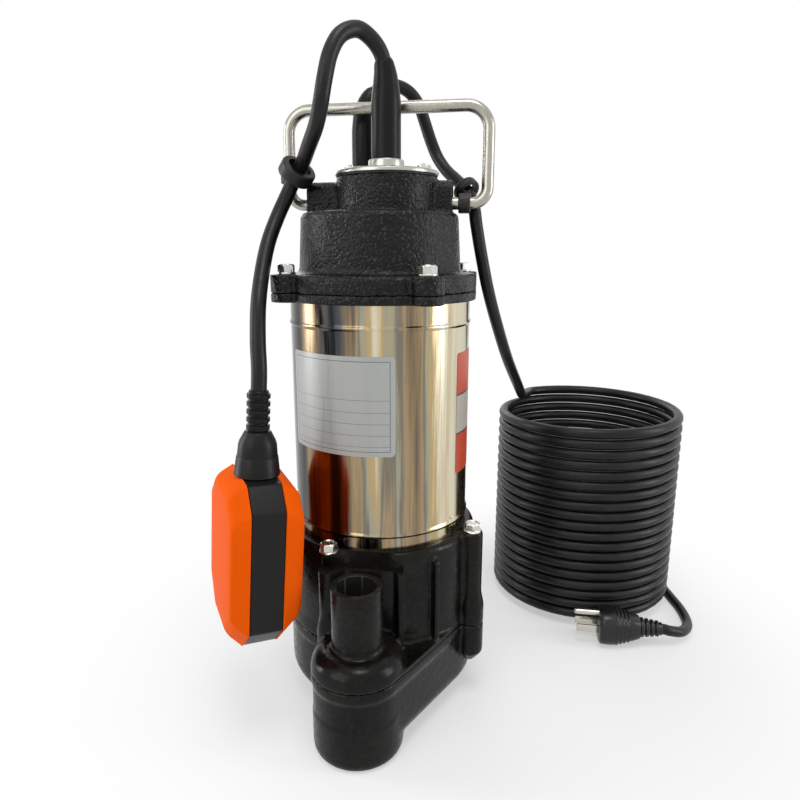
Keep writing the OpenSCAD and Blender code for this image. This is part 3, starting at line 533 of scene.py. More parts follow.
class Shader:
    """One material: a Principled surface and the nodes that feed it."""

    def __init__(self, name: str) -> None:
        """Starts an empty material of that name."""
        self.material = bpy.data.materials.new(name)
        self.material.use_nodes = True
        self.tree = self.material.node_tree
        self.tree.nodes.clear()
        self.surface = self.tree.nodes.new("ShaderNodeBsdfPrincipled")
        self.output = self.tree.nodes.new("ShaderNodeOutputMaterial")
        self.tree.links.new(self.surface.outputs[0], self.output.inputs[0])

    def feed(self, socket: bpy.types.NodeSocket, value: Input) -> None:
        """Links a signal to a socket, or sets the socket's own value."""
        if isinstance(value, Signal):
            self.tree.links.new(value.socket, socket)
        else:
            socket.default_value = value

    def add(self, kind: str, settings: dict | None = None, inputs: dict | None = None,
            output: int | str = 0) -> Signal:
        """Adds any node.

        Args:
            kind: the node's type.
            settings: its properties, set first; "stops" are a ramp's positions and colours.
            inputs: values or signals for its sockets, by index or name.
            output: which output to return.

        Returns:
            The output as a signal.
        """
        node = self.tree.nodes.new(kind)
        for key, value in (settings or {}).items():
            if key == "stops":
                self._stops(node.color_ramp, value)
            else:
                setattr(node, key, value)
        for key, value in (inputs or {}).items():
            self.feed(node.inputs[key], value)
        return Signal(self, node.outputs[output])

    @staticmethod
    def _stops(color_ramp: bpy.types.ColorRamp, stops: Sequence[tuple[float, Colour]]) -> None:
        """Fills a colour ramp with stops."""
        for position, colour in stops[2:]:
            color_ramp.elements.new(position)
        for element, (position, colour) in zip(color_ramp.elements, stops):
            element.position = position
            element.color = (*colour, 1.0)

    def set(self, **values: Input) -> None:
        """Sets or links sockets of the surface; base_color stands for its Base Color."""
        for key, value in values.items():
            socket = self.surface.inputs[key.replace("_", " ").title().replace("Ior", "IOR")]
            if isinstance(value, tuple) and len(value) == 3 and socket.type == "RGBA":
                value = (*value, 1.0)
            self.feed(socket, value)

    def here(self, stretch: Vec = (1, 1, 1)) -> Signal:
        """Returns the object coordinates, scaled along each axis."""
        place = self.add("ShaderNodeTexCoord", output="Object")
        return self.add("ShaderNodeMapping", inputs={"Vector": place, "Scale": stretch})

    def axis(self, name: str) -> Signal:
        """Returns one object coordinate, in metres."""
        return self.add("ShaderNodeSeparateXYZ", inputs={0: self.add("ShaderNodeTexCoord", output="Object")},
                        output=name)

    def flat(self, name: str) -> Signal:
        """Returns one coordinate of the UV map."""
        place = self.add("ShaderNodeTexCoord", output="UV")
        return self.add("ShaderNodeSeparateXYZ", inputs={0: place}, output=name)

    def noise(self, scale: float, detail: float = 2.0, place: Signal | None = None) -> Signal:
        """Returns noise from 0 to 1, with scale cells to the metre."""
        return self.add("ShaderNodeTexNoise", inputs={
            "Vector": place or self.here(), "Scale": scale, "Detail": detail})

    def cells(self, scale: float) -> Signal:
        """Returns the distance to the nearest cell centre, from 0 to about 1."""
        return self.add("ShaderNodeTexVoronoi", {"feature": "SMOOTH_F1"}, {
            "Vector": self.here(), "Scale": scale, "Smoothness": 0.6})

    def mix(self, share: Input, first: Input, second: Input) -> Signal:
        """Returns a blend of two colours."""
        rgba = [(*c, 1.0) if isinstance(c, tuple) and len(c) == 3 else c for c in (first, second)]
        return self.add("ShaderNodeMix", {"data_type": "RGBA"}, {0: share, 6: rgba[0], 7: rgba[1]}, output=2)

    def ramp(self, value: Signal, stops: Sequence[tuple[float, Colour]]) -> Signal:
        """Returns the colour that a ramp gives for a value."""
        return self.add("ShaderNodeValToRGB", {"stops": stops}, {0: value})

    def bump(self, height: Signal, depth: float) -> None:
        """Raises the surface by a height from 0 to 1, times depth metres."""
        normal = self.add("ShaderNodeBump", inputs={"Height": height, "Distance": depth, "Strength": 1.0})
        self.set(normal=normal)

    def edges(self, low: float, high: float) -> Signal:
        """Returns 1 on outer edges, by the pointiness of the mesh."""
        return self.add("ShaderNodeNewGeometry", output="Pointiness").spread(low, high)


def shade_of(colour: Colour, factor: float) -> Colour:
    """Returns a colour made lighter or darker."""
    return tuple(min(1.0, c * factor) for c in colour)


# ------------------------------------------------------------------ finishes


@dataclass(frozen=True)
class Finish:
    """A surface of one colour that wanders a little, with a fine grain.

    grain is in cells to the metre, depth in metres, and stretch lengthens the grain where it is small.
    """

    name: str
    colour: Colour
    roughness: float
    metallic: float = 0.0
    mottle: float = 0.12
    grain: float = 700.0
    depth: float = 0.00004
    stretch: tuple[float, float, float] = (1.0, 1.0, 1.0)
    coat: float = 0.0
    shine: float = 0.28

    def paint(self, shader: Shader) -> None:
        """Fills a shader with this finish."""
        drift = shader.noise(28, 3)
        grain = shader.noise(self.grain, 3, shader.here(self.stretch))
        shader.set(
            base_color=shader.mix(drift * 0.6 + grain * 0.4, shade_of(self.colour, 1 - self.mottle),
                                  shade_of(self.colour, 1 + self.mottle)),
            roughness=(drift * 0.5 + grain * 0.5).spread(0.25, 0.75, self.roughness - 0.06,
                                                         self.roughness + 0.08),
            metallic=self.metallic,
            coat_weight=self.coat,
            specular_ior_level=self.shine,
        )
        shader.bump(grain, self.depth)


@dataclass(frozen=True)
class CastPaint(Finish):
    """Black paint on cast iron, with the orange-peel cells of a sprayed textured coat, dust, pale worn edges
    and pale specks of painted highlight.
    """

    cell: float = 760.0
    # Share of pale specks in the colour; they are painted highlights
    speck: float = 0.30
    dust: float = 0.08
    wear: float = 0.16

    def paint(self, shader: Shader) -> None:
        """Fills a shader with this finish."""
        warp = shader.noise(self.cell * 0.5, 3)
        peel = shader.cells(self.cell)
        pimples = peel.spread(0.08, 0.62) * 0.75 + warp * 0.5
        dust = shader.noise(36, 4).spread(0.42, 0.72)
        worn = shader.edges(0.52, 0.60)
        # Pale specks: painted highlights
        speck = shader.noise(self.cell * 1.1, 2).spread(0.58, 0.72)
        body = shader.mix(pimples.spread(0.3, 1.1), shade_of(self.colour, 1.5), shade_of(self.colour, 0.6))
        dusty = shader.mix(dust * self.dust, body, (0.09, 0.088, 0.08))
        # Worn edges and the painted highlight specks, both mixed towards pale grey
        rubbed = shader.mix(worn * self.wear + speck * self.speck, dusty, (0.15, 0.155, 0.14))
        shader.set(base_color=rubbed, metallic=0.0, specular_ior_level=self.shine,
                   roughness=pimples.spread(0.2, 1.1, self.roughness - 0.05, self.roughness + 0.12)
                   + dust * 0.08)
        shader.bump(pimples, self.depth)


@dataclass(frozen=True)
class PolishedShell(Finish):
    """Drawn stainless tube, polished upwards, with long streaks of painted reflection in its colour and faint
    turned lines.

    The painted reflection streaks are noise drawn out along Z. Two darker bands of painted reflection stand
    opposite each other, where the sine of the turn from the angle in degrees below is near 0.
    """

    # Angle in degrees of the two dark bands of painted reflection
    dark_reflection_turn: float = 12.0
    radius: float = 0.0625

    def paint(self, shader: Shader) -> None:
        """Fills a shader with this finish."""
        place = shader.here((1.0, 1.0, 0.035))
        broad = shader.noise(26, 2, place)
        fine = shader.noise(90, 3, place)
        wipe = shader.noise(700, 3, place)
        streak = broad * 0.66 + fine * 0.28 + wipe * 0.06
        # Streaks of painted reflection, from near black to pale gold, in place of the steel's own colour
        painted_reflection_streaks = shader.ramp(streak.spread(0.36, 0.66), [
            (0.0, (0.018, 0.019, 0.022)), (0.10, (0.08, 0.083, 0.09)), (0.24, (0.22, 0.16, 0.095)),
            (0.42, (0.36, 0.27, 0.165)), (0.56, (0.19, 0.17, 0.135)), (0.68, (0.34, 0.33, 0.25)),
            (0.84, (0.46, 0.34, 0.17)), (1.0, (0.68, 0.63, 0.48)),
        ])
        phase = math.radians(self.dark_reflection_turn)
        sine = (shader.axis("Y") * math.cos(phase) - shader.axis("X") * math.sin(phase)) * (1 / self.radius)
        # 1 away from the two dark bands of painted reflection and 0 at them; the near-black colour below paints
        # them
        clear_of_dark_reflection = shader.add("ShaderNodeMath", {"operation": "ABSOLUTE"}, {0: sine}).spread(0.04, 0.62)
        turned = shader.noise(2600, 2, shader.here((0.004, 0.004, 1.0)))
        shader.set(base_color=shader.mix(clear_of_dark_reflection, (0.045, 0.038, 0.032), painted_reflection_streaks), metallic=1.0,
                   roughness=wipe.spread(0.3, 0.7, self.roughness - 0.05, self.roughness + 0.07))
        shader.bump(turned * 0.6 + wipe * 0.4, self.depth)


@dataclass(frozen=True)
class Jacket(Finish):
    """Extruded cable jacket: faint rings from the extruder and lengthwise flow lines, on its own UV."""

    def paint(self, shader: Shader) -> None:
        """Fills a shader with this finish."""
        along, turn = shader.flat("Y"), shader.flat("X")
        place = shader.add("ShaderNodeCombineXYZ", inputs={0: turn * 6.0, 1: along * 0.05, 2: 0.0})
        flow = shader.noise(3.0, 3, place)
        skin = shader.noise(900, 3)
        dust = shader.noise(48, 3).spread(0.45, 0.75)
        shader.set(
            base_color=shader.mix(dust * 0.12, shader.mix(flow, self.colour, shade_of(self.colour, 1.5)),
                                  (0.06, 0.058, 0.055)),
            metallic=0.0,
            specular_ior_level=self.shine,
            roughness=skin.spread(0.3, 0.7, self.roughness - 0.05, self.roughness + 0.1) + dust * 0.08,
        )
        shader.bump(skin * 0.7 + flow * 0.3, self.depth)


@dataclass(frozen=True)
class Moulded(Finish):
    """Moulded plastic with a fine spark-eroded texture and a few handling marks."""

    rub: float = 0.10

    def paint(self, shader: Shader) -> None:
        """Fills a shader with this finish."""
        spark = shader.noise(self.grain, 3)
        flow = shader.noise(22, 3)
        scuff = shader.noise(90, 5, shader.here((1.0, 1.0, 0.25))).spread(0.60, 0.78)
        worn = shader.edges(0.52, 0.60)
        tone = shader.mix(flow, shade_of(self.colour, 1 - self.mottle), shade_of(self.colour, 1 + self.mottle))
        pale = tuple(min(1.0, c * 1.25 + 0.012) for c in self.colour)
        shader.set(base_color=shader.mix((scuff * 0.5 + worn) * self.rub, tone, pale), metallic=0.0,
                   specular_ior_level=self.shine,
                   roughness=spark.spread(0.3, 0.7, self.roughness - 0.05, self.roughness + 0.06)
                   + scuff * 0.08)
        shader.bump(spark, self.depth)


@dataclass(frozen=True)
class Brushed(Finish):
    """Stainless steel with fine scratches along one axis."""

    def paint(self, shader: Shader) -> None:
        """Fills a shader with this finish."""
        lines = shader.noise(self.grain, 4, shader.here(self.stretch))
        cloud = shader.noise(60, 3)
        worn = shader.edges(0.51, 0.58)
        tone = shader.mix(lines * 0.7 + cloud * 0.3, shade_of(self.colour, 0.80), shade_of(self.colour, 1.12))
        rubbed = shader.mix(worn * 0.35, tone, shade_of(self.colour, 1.25))
        shader.set(base_color=rubbed, metallic=self.metallic,
                   roughness=(lines * 0.6 + cloud * 0.4).spread(0.3, 0.7, self.roughness - 0.07,
                                                                self.roughness + 0.10))
        shader.bump(lines, self.depth)


@dataclass(frozen=True)
class Laminated(Finish):
    """Stack of stamped steel sheets, half a millimetre thick, seen from the edge."""

    sheet: float = 0.0005

    def paint(self, shader: Shader) -> None:
        """Fills a shader with this finish."""
        layer = shader.add("ShaderNodeMath", {"operation": "FRACT"}, {0: shader.axis("Z") * (1 / self.sheet)})
        gap = layer.near(0.5, 0.36)
        rust = shader.noise(120, 4).spread(0.55, 0.8)
        tone = shader.mix(gap, shade_of(self.colour, 0.35), self.colour)
        shader.set(base_color=shader.mix(rust * 0.4, tone, (0.24, 0.14, 0.09)), metallic=self.metallic,
                   roughness=rust.spread(0, 1, self.roughness, self.roughness + 0.2))
        shader.bump(gap, self.depth)


@dataclass(frozen=True)
class Wound(Finish):
    """Enamelled copper wire, laid in bands, with painted shade in the grooves between turns."""

    wire: float = 0.0011

    def paint(self, shader: Shader) -> None:
        """Fills a shader with this finish."""
        wander = shader.noise(90, 2) * 0.0012
        height = shader.axis("Z") + wander
        layer = shader.add("ShaderNodeMath", {"operation": "PINGPONG"}, {0: height, 1: self.wire / 2})
        crest = layer.spread(0, self.wire / 2)
        # Darker at the grooves between turns: painted shade
        shader.set(base_color=shader.mix(crest, shade_of(self.colour, 0.35), shade_of(self.colour, 1.15)),
                   metallic=self.metallic, roughness=crest.spread(0, 1, self.roughness + 0.2, self.roughness))
        shader.bump(crest, self.depth)


@dataclass(frozen=True)
class RatingLabel(Finish):
    """Foil label with a border and ruled rows and columns, left blank. Its UV is in millimetres."""

    width: float = 82.0
    height: float = 65.0
    line: float = 0.28
    rows: tuple[float, ...] = (6.5, 14.0, 21.5, 29.0, 37.0)
    columns: tuple[float, ...] = (33.0,)

    def paint(self, shader: Shader) -> None:
        """Fills a shader with this finish."""
        across, up = shader.flat("X"), shader.flat("Y")
        half_w, half_h = self.width / 2, self.height / 2
        inside = across.near(half_w, half_w - 3.0) * up.near(half_h, half_h - 3.0)
        inner = across.near(half_w, half_w - 3.5) * up.near(half_h, half_h - 3.5)
        border = inside - inner
        ruled = up.near(self.rows[0], self.line / 2)
        for row in self.rows[1:]:
            ruled = ruled.most(up.near(row, self.line / 2))
        low, high = self.rows[0], self.rows[-1]
        within = up.near((low + high) / 2, (high - low) / 2)
        for column in self.columns:
            ruled = ruled.most(across.near(column, self.line / 2) * within)
        ink = (ruled * inner).most(border)
        foil = shader.noise(500, 3, shader.here((1.0, 1.0, 0.05)))
        paper = shader.mix(foil, shade_of(self.colour, 0.93), shade_of(self.colour, 1.05))
        shader.set(base_color=shader.mix(ink, paper, (0.12, 0.13, 0.15)), metallic=ink * -0.3 + 0.3,
                   roughness=foil.spread(0.3, 0.7, self.roughness - 0.05, self.roughness + 0.08))
        shader.bump(foil, self.depth)


@dataclass(frozen=True)
class BandedLabel(Finish):
    """Upright label, orange-red with a white middle, left blank. Its UV is in millimetres."""

    height: float = 84.0
    middle: float = 26.0
    white: Colour = (0.80, 0.80, 0.78)

    def paint(self, shader: Shader) -> None:
        """Fills a shader with this finish."""
        up = shader.flat("Y")
        middle = up.near(self.height / 2, self.middle / 2)
        rule = up.near(self.height / 2, self.middle / 2 + 1.2) - middle
        film = shader.noise(240, 3)
        ends = shader.mix(film, shade_of(self.colour, 0.92), shade_of(self.colour, 1.08))
        tone = shader.mix(middle, ends, self.white)
        shader.set(base_color=shader.mix(rule, tone, (0.05, 0.05, 0.05)), metallic=0.0, coat_weight=self.coat,
                   roughness=film.spread(0.3, 0.7, self.roughness - 0.04, self.roughness + 0.06))
        shader.bump(film, self.depth)


@lru_cache(maxsize=None)
def material_of(finish: Finish) -> bpy.types.Material:
    """Returns a finish's material, made once."""
    shader = Shader(finish.name)
    finish.paint(shader)
    return shader.material


# The cap's pale specks (speck) are painted highlights
IRON = CastPaint("black_hammered_paint", (0.0040, 0.0042, 0.0038), 0.24, depth=0.00050, shine=0.20, cell=460.0,
                 speck=0.22, dust=0.03)
GLOSS = CastPaint("black_smooth_paint", (0.0052, 0.0045, 0.0038), 0.15, depth=0.00006, shine=0.16, cell=240.0,
                  speck=0.0, dust=0.05, wear=0.07)
SHELL = PolishedShell("polished_stainless", (0.8, 0.76, 0.7), 0.15, 1.0, depth=0.000005)
STEEL = Brushed("brushed_stainless", (0.42, 0.42, 0.38), 0.30, 1.0, grain=900, depth=0.00001,
                stretch=(1.0, 1.0, 0.12))
WIRE = Brushed("drawn_wire", (0.40, 0.385, 0.34), 0.25, 1.0, grain=1100, depth=0.00001, stretch=(0.3, 1.0, 0.3))
BOLT = Brushed("bolt_steel", (0.62, 0.61, 0.57), 0.24, 1.0, grain=1500, depth=0.00001)
RUBBER = Moulded("black_rubber", (0.005, 0.005, 0.005), 0.34, grain=1600, depth=0.00003, rub=0.10, shine=0.16)
CABLE = Jacket("cable_jacket", (0.005, 0.005, 0.005), 0.34, depth=0.00003, shine=0.24)
VINYL = Moulded("plug_vinyl", (0.009, 0.009, 0.009), 0.28, grain=1500, depth=0.00004, rub=0.14, shine=0.42)
CLIP = Moulded("clip_nylon", (0.012, 0.012, 0.012), 0.42, grain=1300, depth=0.00003, rub=0.14, shine=0.30)
BAND = Moulded("float_black", (0.007, 0.007, 0.0068), 0.36, grain=900, depth=0.00005, rub=0.12, shine=0.18)
ORANGE = Moulded("float_orange", (0.78, 0.095, 0.002), 0.44, mottle=0.06, grain=1100, depth=0.00004, rub=0.10,
                 shine=0.015)
NICKEL = Brushed("nickel", (0.56, 0.54, 0.48), 0.22, 1.0, grain=1400, depth=0.000008, stretch=(0.15, 1.0, 1.0))
FOIL = RatingLabel("rating_foil", (0.37, 0.38, 0.365), 0.34, depth=0.000006)
TAPE = BandedLabel("side_label", (0.46, 0.055, 0.018), 0.35, depth=0.00001, white=(0.40, 0.37, 0.32))

# Finishes of the model's own pieces that stay as they are
KEPT = {
    Finish("strainer_coat", (0.05, 0.05, 0.052), 0.5, grain=900, depth=0.00008): ["inlet_strainer"],
    Finish("seal_rubber", (0.02, 0.02, 0.02), 0.55, grain=1500): [
        "casing_seal", "shell_seals", "oil_seal", "gland_gasket"],
    Finish("turned_iron", (0.16, 0.155, 0.15), 0.45, 0.8, grain=1200): ["seal_plate"],
    Finish("white_ceramic", (0.78, 0.76, 0.70), 0.22, mottle=0.04, grain=2500, depth=0.00001): [
        "seal_stationary_ring"],
    Finish("carbon_ring", (0.03, 0.03, 0.032), 0.35, 0.2, grain=2000): ["seal_rotating_ring"],
    Brushed("ground_steel", (0.56, 0.56, 0.55), 0.2, 1.0, grain=1800, depth=0.000006): [
        "lower_bearing_outer", "upper_bearing_outer", "lower_bearing_inner", "upper_bearing_inner",
        "lower_bearing_balls", "upper_bearing_balls", "float_ball"],
    Brushed("spring_steel", (0.50, 0.49, 0.47), 0.3, 1.0, grain=1600, depth=0.000008): [
        "strainer_screws", "impeller_nut", "impeller_key", "seal_spring", "switch_lever"],
    Brushed("turned_shaft", (0.58, 0.57, 0.55), 0.25, 1.0, grain=2200, depth=0.000008,
            stretch=(0.02, 0.02, 1.0)): ["shaft"],
    Laminated("core_steel", (0.34, 0.34, 0.35), 0.4, 0.9, depth=0.00006): ["stator_core", "rotor_core"],
    Wound("copper_wire", (0.70, 0.26, 0.10), 0.28, 0.9, depth=0.0003): ["stator_windings"],
    Finish("cast_aluminium", (0.56, 0.56, 0.57), 0.42, 1.0, grain=800, depth=0.00008): ["bearing_bracket"],
    Finish("cast_impeller", (0.10, 0.10, 0.102), 0.5, 0.5, grain=600, depth=0.00012): ["impeller"],
    Finish("capacitor_case", (0.72, 0.72, 0.69), 0.38, grain=900): ["capacitor"],
    Finish("terminal_plastic", (0.74, 0.70, 0.58), 0.4, grain=900): ["terminal_block"],
    Finish("switch_housing", (0.035, 0.035, 0.04), 0.4, grain=900): ["float_switch"],
}


def dress(piece: bpy.types.Object, *finishes: Finish) -> None:
    """Gives a piece its materials, in the order of its faces' material numbers."""
    piece.data.materials.clear()
    for finish in finishes:
        piece.data.materials.append(material_of(finish))


def fit(piece: bpy.types.Object, body: Body | None, slot: str, nodes: Sequence[str],
        *finishes: Finish) -> bpy.types.Object:
    """Finishes a piece: its material, the body it rides on and the nodes that it stands for.

    Args:
        piece: the object.
        body: what it moves with, or None for a piece between two bodies, which is attached to neither.
        slot: the record's material slot; not used.
        nodes: the model's nodes that it replaces.
        finishes: its finishes.

    Returns:
        The object.
    """
    dress(piece, *finishes)
    if body is not None:
        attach(piece, body.value)
    if nodes:
        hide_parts(*nodes)
    LOG.info("%s: %d faces", piece.name, len(piece.data.polygons))
    return piece


# ------------------------------------------------------------------ the studio


def seen_rays(tree: bpy.types.NodeTree) -> bpy.types.NodeSocket:
    """Returns a socket that is 1 for camera, glossy and transmission rays, the greatest of the three."""
    rays = tree.nodes.new("ShaderNodeLightPath")
    seen = rays.outputs["Is Camera Ray"]
    for name in ("Is Glossy Ray", "Is Transmission Ray"):
        either = tree.nodes.new("ShaderNodeMath")
        either.operation = "MAXIMUM"
        tree.links.new(seen, either.inputs[0])
        tree.links.new(rays.outputs[name], either.inputs[1])
        seen = either.outputs[0]
    return seen


def blend_into(tree: bpy.types.NodeTree, share: bpy.types.NodeSocket, first: bpy.types.Node,
               second: bpy.types.Node, output: bpy.types.Node) -> None:
    """Feeds an output with a mix of two shader nodes.

    Args:
        tree: the nodes' tree.
        share: how much of the second shows, from 0 to 1.
        first: shader that shows at 0.
        second: shader that shows at 1.
        output: the output node.
    """
    blend = tree.nodes.new("ShaderNodeMixShader")
    for source, socket in zip((share, first.outputs[0], second.outputs[0]), blend.inputs):
        tree.links.new(source, socket)
    tree.links.new(blend.outputs[0], output.inputs[0])


@dataclass
class Studio:
    """Camera, lamps, world and floor."""

    eye: Vec = (85.7, -453.2, 320.0)
    yaw: float = 9.0
    pitch: float = 12.9
    lens: float = 29.25
    sensor: float = 36.0
    sky: float = 0.5
    floor_reach: float = 6000.0
    floor_colour: Colour = (0.86, 0.86, 0.86)
    floor_glow: float = 0.42
    shadow_centre: Vec = (60, 40, 0)
    shadow_reach: tuple[float, float] = (0.13, 0.36)

    def camera(self) -> None:
        """Adds the camera, level from side to side."""
        data = bpy.data.cameras.new("camera")
        data.lens = self.lens
        data.sensor_width = self.sensor
        data.clip_start = 0.01
        camera = bpy.data.objects.new("camera", data)
        camera.location = np.asarray(self.eye) * MM
        camera.rotation_euler = (math.radians(90 - self.pitch), 0.0, math.radians(self.yaw))
        bpy.context.scene.collection.objects.link(camera)
        bpy.context.scene.camera = camera

    def world(self) -> None:
        """Adds an even grey sky that the camera, glossy and clear surfaces see as white."""
        world = bpy.data.worlds.new("studio")
        world.use_nodes = True
        tree = world.node_tree
        tree.nodes.clear()
        sky, white = (tree.nodes.new("ShaderNodeBackground") for _ in range(2))
        for node, strength in ((sky, self.sky), (white, 1.0)):
            node.inputs["Color"].default_value = (1, 1, 1, 1)
            node.inputs["Strength"].default_value = strength
        blend_into(tree, seen_rays(tree), sky, white, tree.nodes.new("ShaderNodeOutputWorld"))
        bpy.context.scene.world = world

    def lamp(self, name: str, place: Vec, target: Vec, size: tuple[float, float], power: float) -> None:
        """Adds a soft rectangular lamp.

        Args:
            name: name of the lamp.
            place: where it stands.
            target: what it points at.
            size: width and height in millimetres.
            power: watts.
        """
        data = bpy.data.lights.new(name, "AREA")
        data.shape = "RECTANGLE"
        data.size, data.size_y = (side * MM for side in size)
        data.energy = power
        lamp = bpy.data.objects.new(name, data)
        away = np.asarray(place, float) - np.asarray(target, float)
        lamp.matrix_world = matrix_at(axes_along(away), np.asarray(place, float) * MM)
        bpy.context.scene.collection.objects.link(lamp)

    def lamps(self) -> None:
        """Adds the key lamp, a top lamp, a back lamp and two upright strips on the left and the right."""
        middle = (20, 0, 180)
        self.lamp("key", (-700, -1100, 900), middle, (900, 1100), 6.0)
        self.lamp("top", (150, -350, 1400), middle, (500, 500), 5.0)
        self.lamp("back", (-500, 1200, 800), middle, (900, 700), 4.0)
        self.lamp("left_strip", (-1150, -60, 430), (0, 0, 300), (330, 860), 5.0)
        self.lamp("right_strip", (1150, -60, 430), (0, 0, 300), (330, 860), 5.0)

    def floor(self) -> None:
        """Adds the pale floor, which keeps the shadow and glows white away from it."""
        reach = self.floor_reach
        corners = np.array([[-reach, -reach, -0.2], [reach, -reach, -0.2],
                            [reach, reach, -0.2], [-reach, reach, -0.2]])
        piece = mesh_of("floor", [Form(corners, [[0, 1, 2, 3]])])
        shader = Shader("pale_floor")
        speck = shader.noise(300, 2)
        light, dark = shade_of(self.floor_colour, 1.01), shade_of(self.floor_colour, 0.99)
        shader.set(base_color=shader.mix(speck, dark, light), roughness=0.9, specular_ior_level=0.1)
        glow = shader.tree.nodes.new("ShaderNodeEmission")
        glow.inputs["Strength"].default_value = 1.0
        away = shader.add("ShaderNodeVectorMath", {"operation": "DISTANCE"},
                          {0: shader.here(), 1: np.asarray(self.shadow_centre, float) * MM}, output=1)
        share = Signal(shader, seen_rays(shader.tree)) * away.spread(*self.shadow_reach, self.floor_glow, 1.0)
        blend_into(shader.tree, share.socket, shader.surface, glow, shader.output)
        piece.data.materials.append(shader.material)

    def build(self) -> None:
        """Adds the whole studio."""
        self.camera()
        self.world()
        self.lamps()
        self.floor()
        bpy.context.scene.view_settings.view_transform = "Standard"


def matrix_at(axes: np.ndarray, place: np.ndarray) -> Matrix:
    """Returns a 4 by 4 matrix of axes and a place."""
    full = np.eye(4)
    full[:3, :3] = axes
    full[:3, 3] = place
    return Matrix(full.tolist())


# ------------------------------------------------------------------ cords


@dataclass
class Float:
    """Frame and sizes of the float: x across its thickness, y across its width, z up its length."""

    place: Vec = (-69.5, -80.0, 127.0)
    lean: float = 4.2
    turn: float = 34.0
    thickness: float = 47.0
    width: float = 70.0
    height: float = 112.0
    band: float = 21.0
    bevel_top: float = 14.0
    bevel_low: float = 18.0
    neck_h: float = 29.0
    boot_l: float = 26.0
    cable_r: float = 4.9

    @property
    def axis(self) -> np.ndarray:
        """Direction of the float's length."""
        return turn_about((0, 1, 0), self.lean) @ UP

    def set_up(self, form: Form) -> Form:
        """Returns a form taken from the float's own frame to its place."""
        return form.turned(self.turn).by(turn_about((0, 1, 0), self.lean)).moved(self.place)

    def outline(self, inset: float, corner: float, drop: float = 0.0, lift: float = 0.0) -> np.ndarray:
        """Bevelled outline, drawn in by inset, with rounded corners.

        Args:
            inset: how far every side moves in.
            corner: radius of the corners.
            drop: how much more the top moves in.
            lift: how much more the bottom moves in.

        Returns:
            Points (across the width, up), anticlockwise.
        """
        w, high, deep = self.width / 2 - inset, self.height / 2 - inset - drop, self.height / 2 - inset - lift
        top, low = self.bevel_top - 0.6 * inset, self.bevel_low - 0.6 * inset
        corners = [(-w + low, -deep), (w - low, -deep), (w, -deep + low), (w, high - top), (w - top, high),
                   (-w + top, high), (-w, high - top), (-w, -deep + low)]
        return rounded(corners, corner, 5)

    def layers(self, steps: Sequence[Sequence[float]]) -> Form:
        """Solid through outlines at distances across the float.

        Args:
            steps: distance across, then the arguments of each outline, from the inside outwards.

        Returns:
            A closed form in the float's own frame.
        """
        rings = []
        for across, *sizes in steps:
            flat = self.outline(*sizes)
            rings.append(np.column_stack([np.full(len(flat), across), flat]))
        return grid(np.stack(rings))

    def half(self) -> Form:
        """One orange half shell: ends that slope away from the band, rounded shoulder, crowned face."""
        inner, outer = self.band / 2 + 0.15, self.thickness / 2
        shoulder = 5.0
        steps = [(inner, 0.5, 4.0), (inner + 0.5, 0.0, 4.0)]
        for k in range(11):
            a = math.pi / 2 * k / 10
            across = outer - 0.7 - shoulder * (1 - math.sin(a))
            slope = (across - inner) / (outer - inner)
            steps.append((across, shoulder * 0.8 * (1 - math.cos(a)), 4.0, 7.5 * slope, 13.0 * slope))
        steps += [(outer - 0.3, 10.0, 3.5, 7.5, 13.0), (outer, 18.0, 3.0, 7.5, 13.0)]
        return self.layers(steps)

    def middle(self) -> list[Form]:
        """Black band between the shells and the two-stage neck above it."""
        half = self.band / 2
        band = self.layers([(-half, 1.1, 3.6), (-half + 0.5, 0.6, 3.6),
                            (half - 0.5, 0.6, 3.6), (half, 1.1, 3.6)])
        top = self.height / 2
        neck = revolve([(9.9, top - 1), (9.9, top + 0.05), (14.4, top + 0.05), (14.6, top + 0.6),
                        (14.3, top + 1.6), (13.1, top + 11.4), (12.6, top + 12.2), (12.6, top + 13.0),
                        (12.0, top + 19.6), (11.2, top + 22.0), (8.5, top + 27.2), (7.7, top + 28),
                        (6.0, top + 28)], 64)
        return [band, neck]

    def sleeve(self) -> Form:
        """Ribbed boot: a straight core under rounded ribs."""
        base = self.height / 2 - 1 + self.neck_h
        profile = [(6.1, base - 0.5)]
        for k in range(5):
            low = base + 1 + 5 * k
            profile += [(6.1, low - 0.2), (7.0, low), (7.3, low + 0.4), (7.3, low + 2.6), (7.0, low + 3.0),
                        (6.1, low + 3.2)]
        end = base + self.boot_l
        profile += [(6.1, end - 0.6), (5.6, end), (self.cable_r - 0.4, end)]
        return revolve(profile, 48)

    def build(self) -> bpy.types.Object:
        """Makes the float's pieces and returns its boot."""
        right = piece_of("float_half_right", [self.set_up(self.half())], degrees=30)
        fit(right, Body.FLOAT, "float_orange", ["float_shell_right"], ORANGE)
        left = piece_of("float_half_left", [self.set_up(self.half().turned(180))], degrees=30)
        fit(left, Body.FLOAT, "float_orange", ["float_shell_left"], ORANGE)
        middle = piece_of("float_middle", [self.set_up(form) for form in self.middle()], degrees=30)
        fit(middle, Body.FLOAT, "float_black", ["float_band"], BAND)
        sleeve = piece_of("float_sleeve", [self.set_up(self.sleeve())], degrees=30)
        return fit(sleeve, Body.FLOAT, "black_rubber", ["float_boot"], RUBBER)


